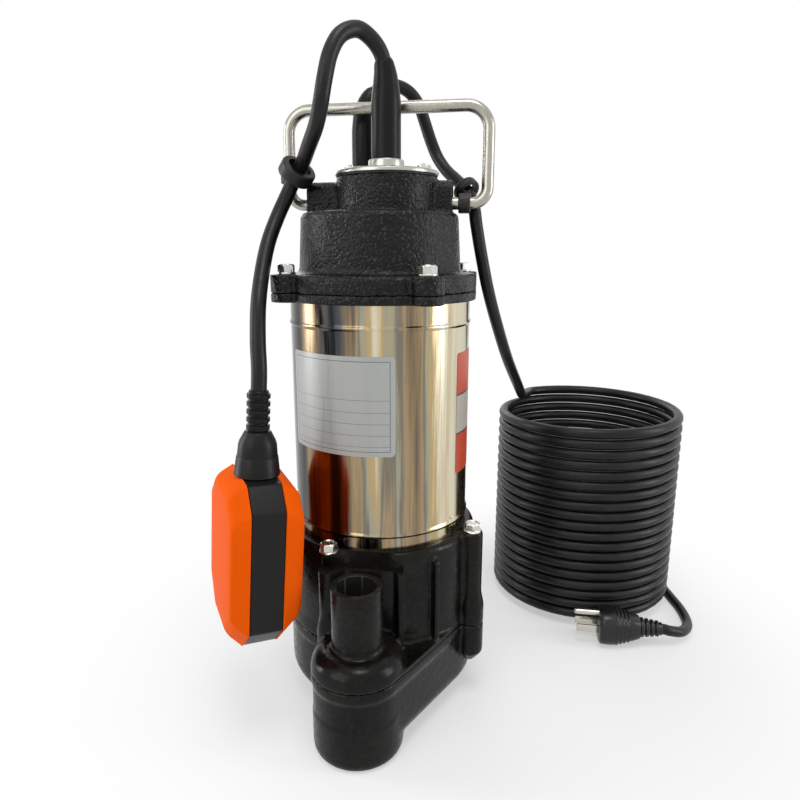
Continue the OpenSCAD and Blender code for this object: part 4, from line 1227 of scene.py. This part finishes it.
@dataclass
class Cords:
    """The mains cord with its coil, and the float's cord, on the routes that the model's cords follow."""

    power_r: float = 4.3
    float_r: float = 4.9
    power_gland: Vec = (-13, 17, 410)
    float_gland: Vec = (8, -19, 420)
    float_ring: Vec = FLOAT_RING
    float_ring_way: Vec = FLOAT_RING_WAY
    held: float = 6.0
    coil_centre: Vec = (167, 156)
    coil_r: float = 77.7
    coil_pitch: float = 9.05
    coil_start: float = 125.0
    coil_turns: float = 19 + 1 / 3
    coil_low: float = 4.3
    coil_lead: float = 8.6
    rings_a_turn: int = 40
    steps: int = 5
    plug_end: Vec = (224, 57, 15.2)
    rise: Sequence[Vec] = (
        (-10.5, 18.5, 421), (-3.8, 22.7, 429), (5.5, 28.5, 432), (14.5, 34.3, 429), (21.2, 38.8, 421),
        (25.3, 41.3, 410), (29.5, 42, 398), (34.8, 40.5, 386), (42, 34.5, 376), (50, 26.5, 368.5),
        (57.5, 18, 361), (63, 13, 350), (65.5, 12, 336), (69.5, 15, 315), (75, 22, 290), (82, 39, 264),
        (90, 64, 237), (99, 99, 211), (104, 138, 194), (107, 178, 184),
    )
    tail: Sequence[Vec] = ((249, 132, 4.5), (253, 108, 4.6), (252, 84, 5.4), (243, 66, 9), (232, 58.5, 13))
    loop: Sequence[Vec] = (
        (7.5, -20, 430), (5.5, -22.5, 439), (0.5, -27, 446), (-7, -32.5, 450), (-15, -41, 445),
        (-20, -47, 434), (-23, -50, 420), (-26, -49, 407), (-31, -43, 395), (-40, -31, 384), (-47, -20, 377),
    )
    drop: Sequence[Vec] = (
        (-59.5, -15, 358), (-65, -23, 342), (-67.5, -36, 325), (-67, -51, 306), (-65, -65, 287),
        (-62.5, -75, 266), (-61, -79, 250),
    )

    def coil(self) -> np.ndarray:
        """Helix of the coil: centre + r (cos a, sin a), sinking by the pitch in each clockwise turn."""
        t = np.linspace(0, 1, int(self.coil_turns * self.rings_a_turn) + 1)
        angle = np.radians(self.coil_start - 360 * self.coil_turns * t)
        x, y = self.coil_centre
        return np.column_stack([x + self.coil_r * np.cos(angle), y + self.coil_r * np.sin(angle),
                                self.coil_low + self.coil_pitch * self.coil_turns * (1 - t)])

    def coil_way(self, degrees: float) -> np.ndarray:
        """Level direction of the coil at an angle."""
        angle = math.radians(degrees)
        return np.array([math.sin(angle), -math.cos(angle), 0.0])

    def power_line(self) -> np.ndarray:
        """Centre line of the mains cord, from its boot through the coil to the plug."""
        coil = self.coil()
        enter = coil[0] - self.coil_lead * self.coil_way(self.coil_start)
        leave = coil[-1] + self.coil_lead * self.coil_way(self.coil_start - 360 * self.coil_turns)
        start, end = np.asarray(self.power_gland, float), np.asarray(self.plug_end, float)
        rise = bent(start - 10 * UP, [start, *self.rise, enter], coil[0], self.steps)
        tail = bent(coil[-1], [leave, *self.tail, end], end - [20, 0, 0], self.steps)
        return np.vstack([rise, coil, tail])

    def loop_line(self) -> np.ndarray:
        """Centre line of the float's cord, from its boot to the clip."""
        start = np.asarray(self.float_gland, float)
        beyond = np.asarray(self.drop[0], float)
        return bent(start - 10 * UP, [start, *self.loop, self.float_ring], beyond, self.steps)

    def drop_line(self, bob: Float) -> np.ndarray:
        """Centre line of the float's cord, from the clip to the float's boot."""
        top = bob.height / 2 - 1 + bob.neck_h + bob.boot_l
        end = np.asarray(bob.place, float) + top * bob.axis
        return bent(np.asarray(self.loop[-1], float), [self.float_ring, *self.drop, end], end - 20 * bob.axis,
                    self.steps)

    def lay(self, name: str, line: np.ndarray, radius: float, body: Body | None, nodes: Sequence[str],
            ways: tuple[Vec, Vec], sides: int) -> bpy.types.Object:
        """Makes one cord as a tube.

        Args:
            name: name of the piece.
            line: its centre line.
            radius: radius of the jacket.
            body: what it moves with, or None for a cord between two bodies, which is attached to neither.
            nodes: the model's solids that it stands for.
            ways: directions of its two ends.
            sides: points round it.

        Returns:
            The object.
        """
        piece = mesh_of(name, [sweep(line, radius, sides, *ways)])
        shade(piece, 50)
        return fit(piece, body, "cable_black", nodes, CABLE)

    def build(self, bob: Float, power_pieces: Sequence[bpy.types.Object], float_sleeve: bpy.types.Object,
              gland_sleeve: bpy.types.Object) -> None:
        """Args:
            bob: the float that the float's cord ends in.
            power_pieces: boot and plug pieces on the mains cord; not used.
            float_sleeve: boot on the float; not used.
            gland_sleeve: boot of the float's cord on the pump; not used.
        """
        line = self.power_line()
        power = self.lay("mains_cord", line, self.power_r, Body.PUMP,
                         ["power_cord_rise", "power_cord_coil", "power_cord_tail"], (UP, (-1, 0, 0)), 14)
        line = self.loop_line()
        loop = self.lay("float_cord_loop", line, self.float_r, Body.PUMP, ["float_cable_loop"],
                        (UP, self.float_ring_way), 20)
        line = self.drop_line(bob)
        drop = self.lay("float_cord_drop", line, self.float_r, None, ["float_cable_drop"],
                        (self.float_ring_way, -bob.axis), 20)
        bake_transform(drop)


@dataclass
class Plug:
    """Moulded plug with two blades and a round ground pin, lying on the floor and pointing to -X."""

    face: Vec = (173, 57, 15.2)
    length: float = 33.0
    relief: float = 18.0
    blade: float = 18.0

    def turned_in(self, form: Form) -> Form:
        """Returns a form whose Z runs back along the plug and whose -X is up, at the plug's place."""
        return form.by(np.array([[0, 0, 1], [0, 1, 0], [-1, 0, 0]], float)).moved(self.face)

    def section(self, half_w: float, half_h: float, at: float) -> np.ndarray:
        """Section of the body: a superellipse, x = h cos^0.7, y = w sin^0.8, at a distance from the face."""
        t = np.arange(48) * 2 * np.pi / 48
        c, s = np.cos(t), np.sin(t)
        return np.column_stack([half_h * np.sign(c) * abs(c) ** 0.7, half_w * np.sign(s) * abs(s) ** 0.8,
                                np.full(48, at)])

    def housing(self) -> Form:
        """Body of the plug: a lofted grip that narrows to the cord, with four moulded finger ridges."""
        sizes = [(11.6, 11.0, 0), (13.2, 12.6, 0.3), (14.4, 14.0, 1.0), (14.9, 14.6, 2.2), (15, 14.8, 6),
                 (15, 14.8, 11)]
        for k in range(4):
            at = 13 + 3.2 * k
            w = 14.7 - 0.9 * k
            sizes += [(w, w - 0.4, at), (w + 0.35, w, at + 0.6), (w + 0.3, w - 0.1, at + 1.7),
                      (w - 0.5, w - 1.0, at + 2.3)]
        sizes += [(11.2, 10.4, 27.5), (9.6, 9.1, 31.5), (9.0, 8.6, self.length)]
        return self.turned_in(grid(np.stack([self.section(w, h, at) for w, h, at in sizes])))

    def sleeve(self) -> Form:
        """Ribbed strain relief: a tapering core with four rings."""
        profile = [(7.6, self.length - 0.6)]
        for k in range(4):
            at, r = self.length + 1 + 4 * k, 8 - 0.5 * k
            profile += [(r - 1.5, at - 0.1), (r - 0.2, at), (r, at + 0.4), (r, at + 1.8), (r - 0.2, at + 2.2),
                        (r - 1.6, at + 2.3)]
        end = self.length + self.relief
        profile += [(5.4, end - 0.4), (5.0, end), (4.0, end)]
        return self.turned_in(revolve(profile, 40))

    def blades(self) -> list[Form]:
        """Two flat blades with chamfered ends."""
        out = []
        for side in (-1, 1):
            tip = -self.blade
            levels = [(0.3, 2.5, tip), (0.75, 3.15, tip + 0.8), (0.75, 3.15, 0.5)]
            rows = [np.array([[-h, -t, z], [h, -t, z], [h, t, z], [-h, t, z]]) for t, h, z in levels]
            out.append(self.turned_in(grid(np.stack(rows)).moved((1.2, side * 6.35, 0))))
        return out

    def pin(self) -> Form:
        """Round ground pin with a domed end."""
        tip, r = -self.blade - 2.0, 2.4
        dome = [(r * math.sin(a), tip + r * (1 - math.cos(a))) for a in np.linspace(0.12, math.pi / 2, 8)]
        return self.turned_in(revolve([*dome, (r, 0.5)], 32).moved((-10.2, 0, 0)))

    def build(self) -> list[bpy.types.Object]:
        """Makes the plug's pieces and returns them."""
        return [
            fit(piece_of("plug_housing", [self.housing()], degrees=40), Body.PUMP, "plug_vinyl",
                ["plug_body"], VINYL),
            fit(piece_of("plug_sleeve", [self.sleeve()], degrees=30), Body.PUMP, "plug_vinyl",
                ["plug_relief"], VINYL),
            fit(piece_of("plug_blade_pair", self.blades(), 0.15), Body.PUMP, "plug_metal",
                ["plug_blades"], NICKEL),
            fit(piece_of("plug_earth_pin", [self.pin()]), Body.PUMP, "plug_metal",
                ["plug_ground_pin"], NICKEL),
        ]


# ------------------------------------------------------------------ base and body


@dataclass
class Casing:
    """Scroll-shaped base casing and the pump body above it, both cast iron."""

    base_r: float = 70.5
    lobe_r: float = 30.5
    lobe_y: float = 88.0
    joint: float = 57.0
    top: float = 126.0
    body_r: float = 69.5
    foot: float = 6.0
    round_r: float = 14.0
    column_r: float = 73.0
    column_angles: Sequence[float] = (72.0, 162.0, 252.0, 342.0)
    column_low: float = 9.5
    column_top: float = 7.5
    pipe_r: float = 16.65
    pipe_bore: float = 12.7
    pipe_top: float = 114.0
    foot_places: Sequence[Vec] = ((-46.0, 36.0), (46.0, 36.0))
    chamber: Sequence[float] = (53.0, 14.0)
    outlet: Sequence[float] = (19.0, 18.0)
    throat: Sequence[float] = (2.0, 26.0)
    eye_r: float = 21.0
    mouth: Sequence[float] = (46.3, 9.0)
    hollows: Sequence[Sequence[float]] = ((58.0, 104.0, 140.0), (42.0, 65.0, 86.0), (50.0, 50.0, 65.0))
    ribs: Sequence[Vec] = ((20.0, 6.0), (41.0, 5.0))
    main_points: int = 90
    lobe_points: int = 60

    def scroll(self, inset: float) -> np.ndarray:
        """Outline of the scroll: the round part, then the lobe, joined by their tangent on one side."""
        big, small = self.base_r - inset, self.lobe_r - inset
        tangent = math.asin((small - big) / self.lobe_y)
        corner = 1.5 * math.pi - math.asin(small / big)
        a = np.linspace(tangent, corner, self.main_points)
        b = np.linspace(math.pi, 2 * math.pi + tangent, self.lobe_points)
        main = big * np.column_stack([np.cos(a), np.sin(a)])
        lobe = small * np.column_stack([np.cos(b), np.sin(b)]) - [0, self.lobe_y]
        return np.vstack([main, lobe])

    def scroll_loft(self, steps: Sequence[tuple[float, float]]) -> Form:
        """Solid through scroll outlines, each given by its inset and height."""
        points = self.main_points + self.lobe_points
        rings = [np.column_stack([self.scroll(inset), np.full(points, z)]) for inset, z in steps]
        return grid(np.stack(rings))

    def columns(self, profile: Sequence[Vec]) -> list[Form]:
        """Returns the same solid of revolution at each of the four bolt columns."""
        return [revolve(profile, 48).moved((self.column_r, 0, 0)).turned(a) for a in self.column_angles]

    def base(self) -> bpy.types.Object:
        """Base casing: rounded scroll, lobe foot, two feet, columns and the hollow inside."""
        steps = []
        for k in range(11):
            a = math.pi / 2 * k / 10
            steps.append((1 + self.round_r * (1 - math.sin(a)), self.foot + self.round_r * (1 - math.cos(a))))
        steps += [(1.0, self.joint - 8), (0.0, self.joint - 6.6), (0.0, self.joint)]
        lobe = revolve([(25.5, 0.2), (28.3, 1.2), (29.7, 4), (30, 8), (30, 30)], 96, (0, -self.lobe_y))
        foot = [(10.4, 0.2), (11, 0.9), (11, self.foot + 4)]
        feet = [revolve(foot, 48, place) for place in self.foot_places]
        column = [(3, 26), (self.column_low, 34), (self.column_low, self.joint)]
        over = self.joint + 23
        (chamber_r, chamber_low), (outlet_r, outlet_low) = self.chamber, self.outlet
        mouth_r, mouth_top = self.mouth
        cuts = [
            block((-FAR, -FAR, self.joint), (FAR, FAR, over)),
            drum(chamber_r, chamber_low, over), drum(outlet_r, outlet_low, over, (0, -self.lobe_y)),
            block((self.throat[0], -self.lobe_y, outlet_low), (self.throat[1], -20, over)),
            drum(self.eye_r, 8, 20), drum(mouth_r, -5, mouth_top), block((-FAR, -FAR, -9), (FAR, FAR, 0)),
        ]
        forms = [self.scroll_loft(steps), lobe, *feet, *self.columns(column)]
        return cast("base_casting", forms, 1.15, 6, cuts)

    def body(self) -> bpy.types.Object:
        """Pump body: scroll plate, drum, columns with webs, domed shoulder, pipe and ribs."""
        low = self.joint
        forms = [
            self.scroll_loft([(0, low), (0, self.joint + 3)]),
            revolve([(70.1, low), (70.1, 63), (69.5, 66), (68.9, 123), (67.5, 125.2), (65.5, 126)], 160),
            *self.columns([(self.column_low, low), (self.column_low, 71), (self.column_top, 81),
                           (self.column_top, 127)]),
        ]
        forms += [block((self.column_r - 12, -7.5, 59), (self.column_r, 7.5, 124)).turned(a)
                  for a in self.column_angles]
        dome = [(self.pipe_r + (self.lobe_r - self.pipe_r - 0.2) * math.cos(a) ** 0.85,
                 self.joint + 2.4 + 12.6 * math.sin(a) ** 0.9) for a in np.linspace(0, math.pi / 2, 14)]
        forms.append(revolve([(30.5, low), *dome], 96, (0, -self.lobe_y)))
        forms.append(drum(self.pipe_r, low, self.pipe_top + 3, (0, -self.lobe_y)))
        forms.append(block((-6, -88, 60), (6, -60, 72)))
        for angle, reach in self.ribs:
            rib = block((self.body_r - 4, -2.2, 60), (self.body_r + reach, 2.2, 118))
            forms.append(rib.turned(angle - 90))
        cuts = [
            block((-FAR, -FAR, 0), (FAR, FAR, self.joint)),
            block((-40, -130, self.pipe_top), (40, -64, 140)),
            drum(self.pipe_bore, 50, 130, (0, -self.lobe_y)),
            revolve([(self.pipe_bore - 1, self.pipe_top - 1.6), (self.pipe_bore + 1.6, self.pipe_top + 1)], 96,
                    (0, -self.lobe_y)),
            drum(SHELL_R + 0.2, 114, 140, sides=160),
            *(drum(radius, low, high) for radius, low, high in self.hollows),
        ]
        return cast("body_casting", forms, 1.15, 5, cuts)

    def bolts(self) -> list[Form]:
        """Hexagon bolts with washers on the columns."""
        head = hex_head(10, 5.2, 6.2, 1.2).moved((self.column_r, 0, self.top + 1))
        return [head.turned(a) for a in self.column_angles]

    def build(self) -> None:
        """Makes the castings and their bolts."""
        fit(self.base(), Body.PUMP, "cast_iron", ["base_casing", "casing_feet"], GLOSS)
        fit(self.body(), Body.PUMP, "cast_iron", ["pump_body"], GLOSS)
        fit(piece_of("body_bolt_set", self.bolts(), degrees=25), Body.PUMP, "stainless_fasteners",
            ["body_bolts"], BOLT)


# ------------------------------------------------------------------ shell and labels


@dataclass
class Shell:
    """Drawn motor shell with two beads, and the two labels on it."""

    radius: float = SHELL_R
    wall: float = 1.2
    low: float = 114.0
    high: float = 297.5
    bead: float = 0.9
    bead_half: float = 2.2
    bead_heights: Sequence[float] = (136.0, 273.0)
    rating: Sequence[float] = (-146.0, -71.0, 191.0, 256.0, 2.5)
    side: Sequence[float] = (-25.0, 14.0, 170.0, 254.0, 2.0)

    def tube(self) -> Form:
        """Tube whose radius rises by bead (1 + cos) / 2 at each bead."""
        outside = [(self.radius, self.low)]
        for height in self.bead_heights:
            for t in np.linspace(-1, 1, 13):
                rise = self.bead * (1 + math.cos(math.pi * t)) / 2
                outside.append((self.radius + rise, height + t * self.bead_half))
        outside.append((self.radius, self.high))
        inner = self.radius - self.wall
        return ring([*outside, (inner, self.high), (inner, self.low)], 256)

    def label(self, start: float, end: float, low: float, high: float, corner: float) -> Form:
        """Label bent round the shell: its UV is the distance round and up in millimetres.

        The outline is a rounded rectangle in (distance, height), carried on to the cylinder.

        Args:
            start: angle of the first edge.
            end: angle of the second edge.
            low: height of its lower edge.
            high: height of its upper edge.
            corner: radius of its corners.

        Returns:
            A thin closed form.
        """
        skin = self.radius + 0.22
        width = math.radians(end - start) * skin
        columns, rows = 64, 40
        u = np.linspace(0, 1, columns)
        v = np.linspace(0, 1, rows)
        across = width * u
        lift = np.clip(corner - np.minimum(across, width - across), 0, corner)
        cut = corner - np.sqrt(np.maximum(corner**2 - lift**2, 0))
        height = (low + cut)[None] + v[:, None] * (high - low - 2 * cut)[None]
        angle = np.radians(start) + across[None] / skin
        outer = np.stack([skin * np.cos(angle) + 0 * height, skin * np.sin(angle) + 0 * height, height], -1)
        form = grid(outer, around=False)
        form.uv = np.stack([across[None] + 0 * height, height - low], -1).reshape(-1, 2)
        return form

    def thicken(self, piece: bpy.types.Object) -> bpy.types.Object:
        """Gives a label its thickness, inwards, and returns it."""
        wall = piece.modifiers.new("wall", "SOLIDIFY")
        wall.thickness = 0.2 * MM
        wall.offset = -1
        return shade(settle(piece), 40)

    def build(self) -> None:
        """Makes the shell and its labels."""
        fit(piece_of("shell_tube", [self.tube()], degrees=40), Body.PUMP, "polished_stainless",
            ["motor_shell"], SHELL)
        rating = self.thicken(mesh_of("rating_label", [self.label(*self.rating)]))
        fit(rating, Body.PUMP, "polished_stainless", [], FOIL)
        side = self.thicken(mesh_of("side_label", [self.label(*self.side)]))
        fit(side, Body.PUMP, "polished_stainless", [], TAPE)


# ------------------------------------------------------------------ cap and gland


@dataclass
class Cap:
    """Cast cap with its clamp ring, bolts, gland plate and cable sleeves."""

    ring_z: float = 287.5
    flange_z: float = 293.5
    cap_z: float = 305.5
    neck_z: float = 345.0
    plate_z: float = 368.0
    flange_r: float = 66.5
    drum_r: float = 54.7
    neck_r: float = 34.0
    shift: float = 5.0
    ear_r: float = 10.5
    ear_place: float = 67.5
    ear_angles: Sequence[float] = (36.0, 126.0, 216.0, 306.0)
    boss_reach: float = 49.5
    boss_w: float = 15.0
    boss_top: float = 21.0
    hollow: Sequence[float] = (48.0, 339.0)
    well: Sequence[float] = (25.0, 320.0)
    bolt_hole: float = 3.3
    pivot_hole: float = 4.1
    pivot_reach: Sequence[float] = (36.5, 60.0)
    sleeve_r: float = 9.5
    glands: Sequence[Vec] = ((8.0, -19.0), (-13.0, 17.0))

    def ears(self, low: float, high: float) -> list[Form]:
        """Returns the four ears between two heights."""
        out = []
        for a in self.ear_angles:
            out.append(drum(self.ear_r, low, high, (self.ear_place, 0), 48).turned(a))
            root = block((self.ear_place - 14, -self.ear_r, low), (self.ear_place, self.ear_r, high))
            out.append(root.turned(a))
        return out

    def bolt_holes(self, low: float, high: float) -> list[Form]:
        """Returns cutters for the four bolts."""
        return [drum(self.bolt_hole, low, high, (self.ear_place, 0), 32).turned(a) for a in self.ear_angles]

    def casting(self) -> bpy.types.Object:
        """Cap: flange, ears, drafted drum, neck and the two handle bosses."""
        base, r = self.cap_z, self.drum_r
        boss = drum(self.boss_w / 2, -self.boss_reach, self.boss_reach, sides=48).by(ALONG_X)
        forms = [
            revolve([(self.flange_r, self.flange_z), (self.flange_r, base - 2), (self.flange_r - 2, base)],
                    160),
            *self.ears(self.flange_z, base),
            revolve([(r + 3.5, base - 3), (r + 3.5, base), (r + 1.4, base + 1.2), (r + 0.8, base + 3.5),
                     (r - 1, base + 36.5), (r - 2, base + 38.6), (r - 4.5, base + 39.5)], 160),
            drum(self.neck_r, self.neck_z - 3, self.plate_z, (self.shift, 0)),
            block((-self.boss_reach, -self.boss_w / 2, self.neck_z - 2),
                  (self.boss_reach, self.boss_w / 2, self.neck_z + self.boss_top - self.boss_w / 2)),
            boss.moved((0, 0, self.neck_z + self.boss_top - self.boss_w / 2)),
        ]
        near, far = self.pivot_reach
        pivots = [drum(self.pivot_hole, low, high, sides=32).by(ALONG_X).moved((0, 0, PIVOT_Z))
                  for low, high in ((near, far), (-far, -near))]
        (hollow_r, hollow_top), (well_r, well_low) = self.hollow, self.well
        cuts = [drum(SHELL_R + 0.2, 280, 297.7, sides=160), drum(hollow_r, 280, hollow_top, sides=128),
                drum(well_r, well_low, 380, (self.shift, 0)), *pivots, *self.bolt_holes(280, 320)]
        return cast("cap_casting", forms, 1.0, 4, cuts)

    def clamp(self) -> bpy.types.Object:
        """Clamp ring under the cap."""
        forms = [drum(self.flange_r, self.ring_z, self.flange_z, sides=160),
                 *self.ears(self.ring_z, self.flange_z)]
        cuts = [drum(SHELL_R + 0.1, 280, 300, sides=160), *self.bolt_holes(280, 300)]
        return cast("clamp_ring", forms, 0.8, 2, cuts)

    def bolts(self) -> list[Form]:
        """Hexagon bolts with washers on the ears, their shanks through the ring."""
        head = hex_head(10, 5.2, 6.2, 1.2).moved((self.ear_place, 0, self.cap_z))
        shank = drum(3, self.ring_z + 0.5, self.cap_z + 1, (self.ear_place, 0), 32)
        return [form.turned(a) for a in self.ear_angles for form in (head, shank)]

    def plate(self) -> list[Form]:
        """Gland plate with a rolled rim, and a collar round each cable."""
        low = self.plate_z + 1
        rim = [(34.6, low), (35.0, low + 0.4), (35.0, low + 1.7), (34.6, low + 2.5), (33.8, low + 3.0),
               (20, low + 3.0)]
        r = self.sleeve_r
        collar = ring([(r, low + 1), (r + 2.0, low + 1), (r + 2.0, low + 7.0), (r + 1.6, low + 7.8),
                       (r + 0.9, low + 8.0), (r + 0.2, low + 7.8), (r, low + 7.2)], 72)
        return [revolve(rim, 128).moved((self.shift, 0, 0)), *(collar.moved((x, y, 0)) for x, y in self.glands)]

    def screws(self) -> list[Form]:
        """Hexagon nuts on the plate, each with the end of its stud."""
        nut = hex_head(8.6, 3.3, 4.9, 0.5)
        stud = revolve([(2.3, 2), (2.3, 4.3), (1.9, 4.7)], 24)
        z = self.plate_z + 4
        return [form.moved((self.shift + s * 25, 0, z)) for s in (-1, 1) for form in (nut, stud)]

    def sleeve(self, name: str, gland: Vec, line: np.ndarray, cable_r: float, straight: float,
               node: str) -> bpy.types.Object:
        """Cable boot: a straight rubber sleeve that tapers along the first bend of its cable.

        Args:
            name: name of the piece.
            gland: place of the cable on the plate.
            line: centre line of the cable above the sleeve.
            cable_r: radius of the cable.
            straight: height of the straight part.
            node: the model's boot that it stands for.

        Returns:
            The object.
        """
        x, y = gland
        low = self.plate_z + 1.2
        upright = np.array([[x, y, z] for z in np.linspace(low, line[0][2] - 1, 24)])
        path = np.vstack([upright, line[:9]])
        along = path_length(path)
        t = np.clip((along - straight) / (along[-1] - straight), 0, 1)
        radius = self.sleeve_r - (self.sleeve_r - cable_r - 0.9) * t**1.4
        radius[-1] = cable_r + 0.3
        piece = piece_of(name, [sweep(path, radius, 40, UP)], degrees=50)
        return fit(piece, Body.PUMP, "black_rubber", [node], RUBBER)

    def build(self, cords: Cords) -> tuple[bpy.types.Object, bpy.types.Object]:
        """Makes the cap's pieces.

        Args:
            cords: the cords, whose lines the sleeves follow.

        Returns:
            The sleeves of the float's cord and of the mains cord.
        """
        fit(self.casting(), Body.PUMP, "cast_iron", ["top_cap"], IRON)
        fit(self.clamp(), Body.PUMP, "cast_iron", ["shell_top_ring"], IRON)
        fit(piece_of("cap_bolt_set", self.bolts(), degrees=25), Body.PUMP, "stainless_fasteners",
            ["cap_bolts"], BOLT)
        fit(piece_of("gland_cover", self.plate(), degrees=30), Body.PUMP, "plate_stainless",
            ["gland_plate"], STEEL)
        fit(piece_of("gland_nut_pair", self.screws(), degrees=25), Body.PUMP, "stainless_fasteners",
            ["gland_screws"], BOLT)
        front = self.sleeve("float_cable_sleeve", self.glands[0], cords.loop_line(), cords.float_r, 40,
                            "float_cable_boot")
        rear = self.sleeve("mains_cable_sleeve", self.glands[1], cords.power_line(), cords.power_r, 30,
                           "power_cable_boot")
        return front, rear


# ------------------------------------------------------------------ handle and clips


@dataclass
class Clip:
    """Moulded clip: a short sleeve on the handle's wire, a ring round a cord and a web between them."""

    name: str
    node: str
    seat: Vec
    wire_axes: np.ndarray
    ring: Vec
    way: Vec
    ring_profile: Sequence[Vec]
    sleeve_profile: Sequence[Vec]
    ring_hole: float
    wire_cut: float
    web_r: float
    voxel: float

    def build(self, wire_r: float) -> None:
        """Makes the clip for a wire of the given radius."""
        forms = [
            revolve(self.ring_profile, 64).facing(self.way).moved(self.ring),
            revolve(self.sleeve_profile, 48).by(self.wire_axes).moved(self.seat),
            sweep(np.linspace(self.seat, self.ring, 4), self.web_r, 24),
        ]
        cuts = [drum(wire_r, -self.wire_cut, self.wire_cut, sides=48).by(self.wire_axes).moved(self.seat),
                drum(self.ring_hole, -15, 15, sides=64).facing(self.way).moved(self.ring)]
        fit(cast(self.name, forms, self.voxel, 3, cuts), Body.BAIL, "clip_plastic", [self.node], CLIP)


@dataclass
class Handle:
    """Wire bail and the two clips on it."""

    wire_r: float = 4.0
    rise: float = 61.0
    left: float = -62.5
    right: float = 72.5
    upper_bend: float = 15.0
    lower_bend: float = 10.0
    inner: float = 37.0
    power_ring: Vec = (57.5, 18, 361)
    power_way: Vec = (0.56, -0.55, -0.62)

    def wire(self) -> Form:
        """Bent wire from one boss up, across and down to the other."""
        z, top = PIVOT_Z, PIVOT_Z + self.rise
        corners = [np.array(p, float) for p in (
            (-self.inner, 0, z), (self.left, 0, z), (self.left, 0, top),
            (self.right, 0, top), (self.right, 0, z), (self.inner, 0, z))]
        bends = (self.lower_bend, self.upper_bend, self.upper_bend, self.lower_bend)
        arcs = [corner_arc(*corners[k:k + 3], bend, 12) for k, bend in enumerate(bends)]
        line = np.vstack([corners[0], *arcs, corners[-1]])
        return sweep(line, self.wire_r, 28)

    def clips(self) -> tuple[Clip, Clip]:
        """Returns the float cord's clip on the left leg and the mains cord's clip on the right foot."""
        on_leg = Clip(
            name="float_cord_clip", node="float_cable_clip", seat=(self.left, 0, FLOAT_RING[2]),
            wire_axes=np.eye(3), ring=FLOAT_RING, way=FLOAT_RING_WAY,
            ring_profile=((11.2, -4.5), (12, -3.4), (12, 3.4), (11.2, 4.5)),
            sleeve_profile=((5.9, -6), (6.5, -5.4), (6.5, 5.4), (5.9, 6)),
            ring_hole=8.0, wire_cut=20.0, web_r=4.5, voxel=0.45)
        on_foot = Clip(
            name="mains_cord_clip", node="power_cable_clip", seat=(self.power_ring[0], 0, PIVOT_Z),
            wire_axes=ALONG_X, ring=self.power_ring, way=self.power_way,
            ring_profile=((8.3, -3), (9, -2.2), (9, 2.2), (8.3, 3)),
            sleeve_profile=((5.9, -4), (6.5, -3.4), (6.5, 3.4), (5.9, 4)),
            ring_hole=6.4, wire_cut=9.0, web_r=3.2, voxel=0.4)
        return on_leg, on_foot

    def build(self) -> None:
        """Makes the handle and its clips."""
        fit(piece_of("handle_wire", [self.wire()], degrees=50), Body.BAIL, "handle_stainless",
            ["handle"], WIRE)
        for clip in self.clips():
            clip.build(self.wire_r)


# ------------------------------------------------------------------ the whole pump


@dataclass
class Pump:
    """The whole object, built in order."""

    frame: dict
    studio: Studio = field(default_factory=Studio)
    cords: Cords = field(default_factory=Cords)
    bob: Float = field(default_factory=Float)
    plug: Plug = field(default_factory=Plug)
    casing: Casing = field(default_factory=Casing)
    shell: Shell = field(default_factory=Shell)
    cap: Cap = field(default_factory=Cap)
    handle: Handle = field(default_factory=Handle)

    def dress_kept(self) -> None:
        """Gives the model's remaining nodes their finishes."""
        for finish, nodes in KEPT.items():
            for node in nodes:
                for slot in self.frame["nodes"][node].material_slots:
                    slot.material = material_of(finish)

    def build(self) -> None:
        """Builds the studio, the cords and every piece."""
        self.studio.build()
        plug_pieces = self.plug.build()
        float_sleeve = self.bob.build()
        gland_sleeve, mains_sleeve = self.cap.build(self.cords)
        self.cords.build(self.bob, [mains_sleeve, *plug_pieces], float_sleeve, gland_sleeve)
        self.casing.build()
        self.shell.build()
        self.handle.build()
        self.dress_kept()


def main() -> None:
    """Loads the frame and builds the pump."""
    logging.basicConfig(level=logging.INFO, format="%(message)s")
    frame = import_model()
    Pump(frame).build()
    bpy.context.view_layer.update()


if __name__ == "__main__":
    main()
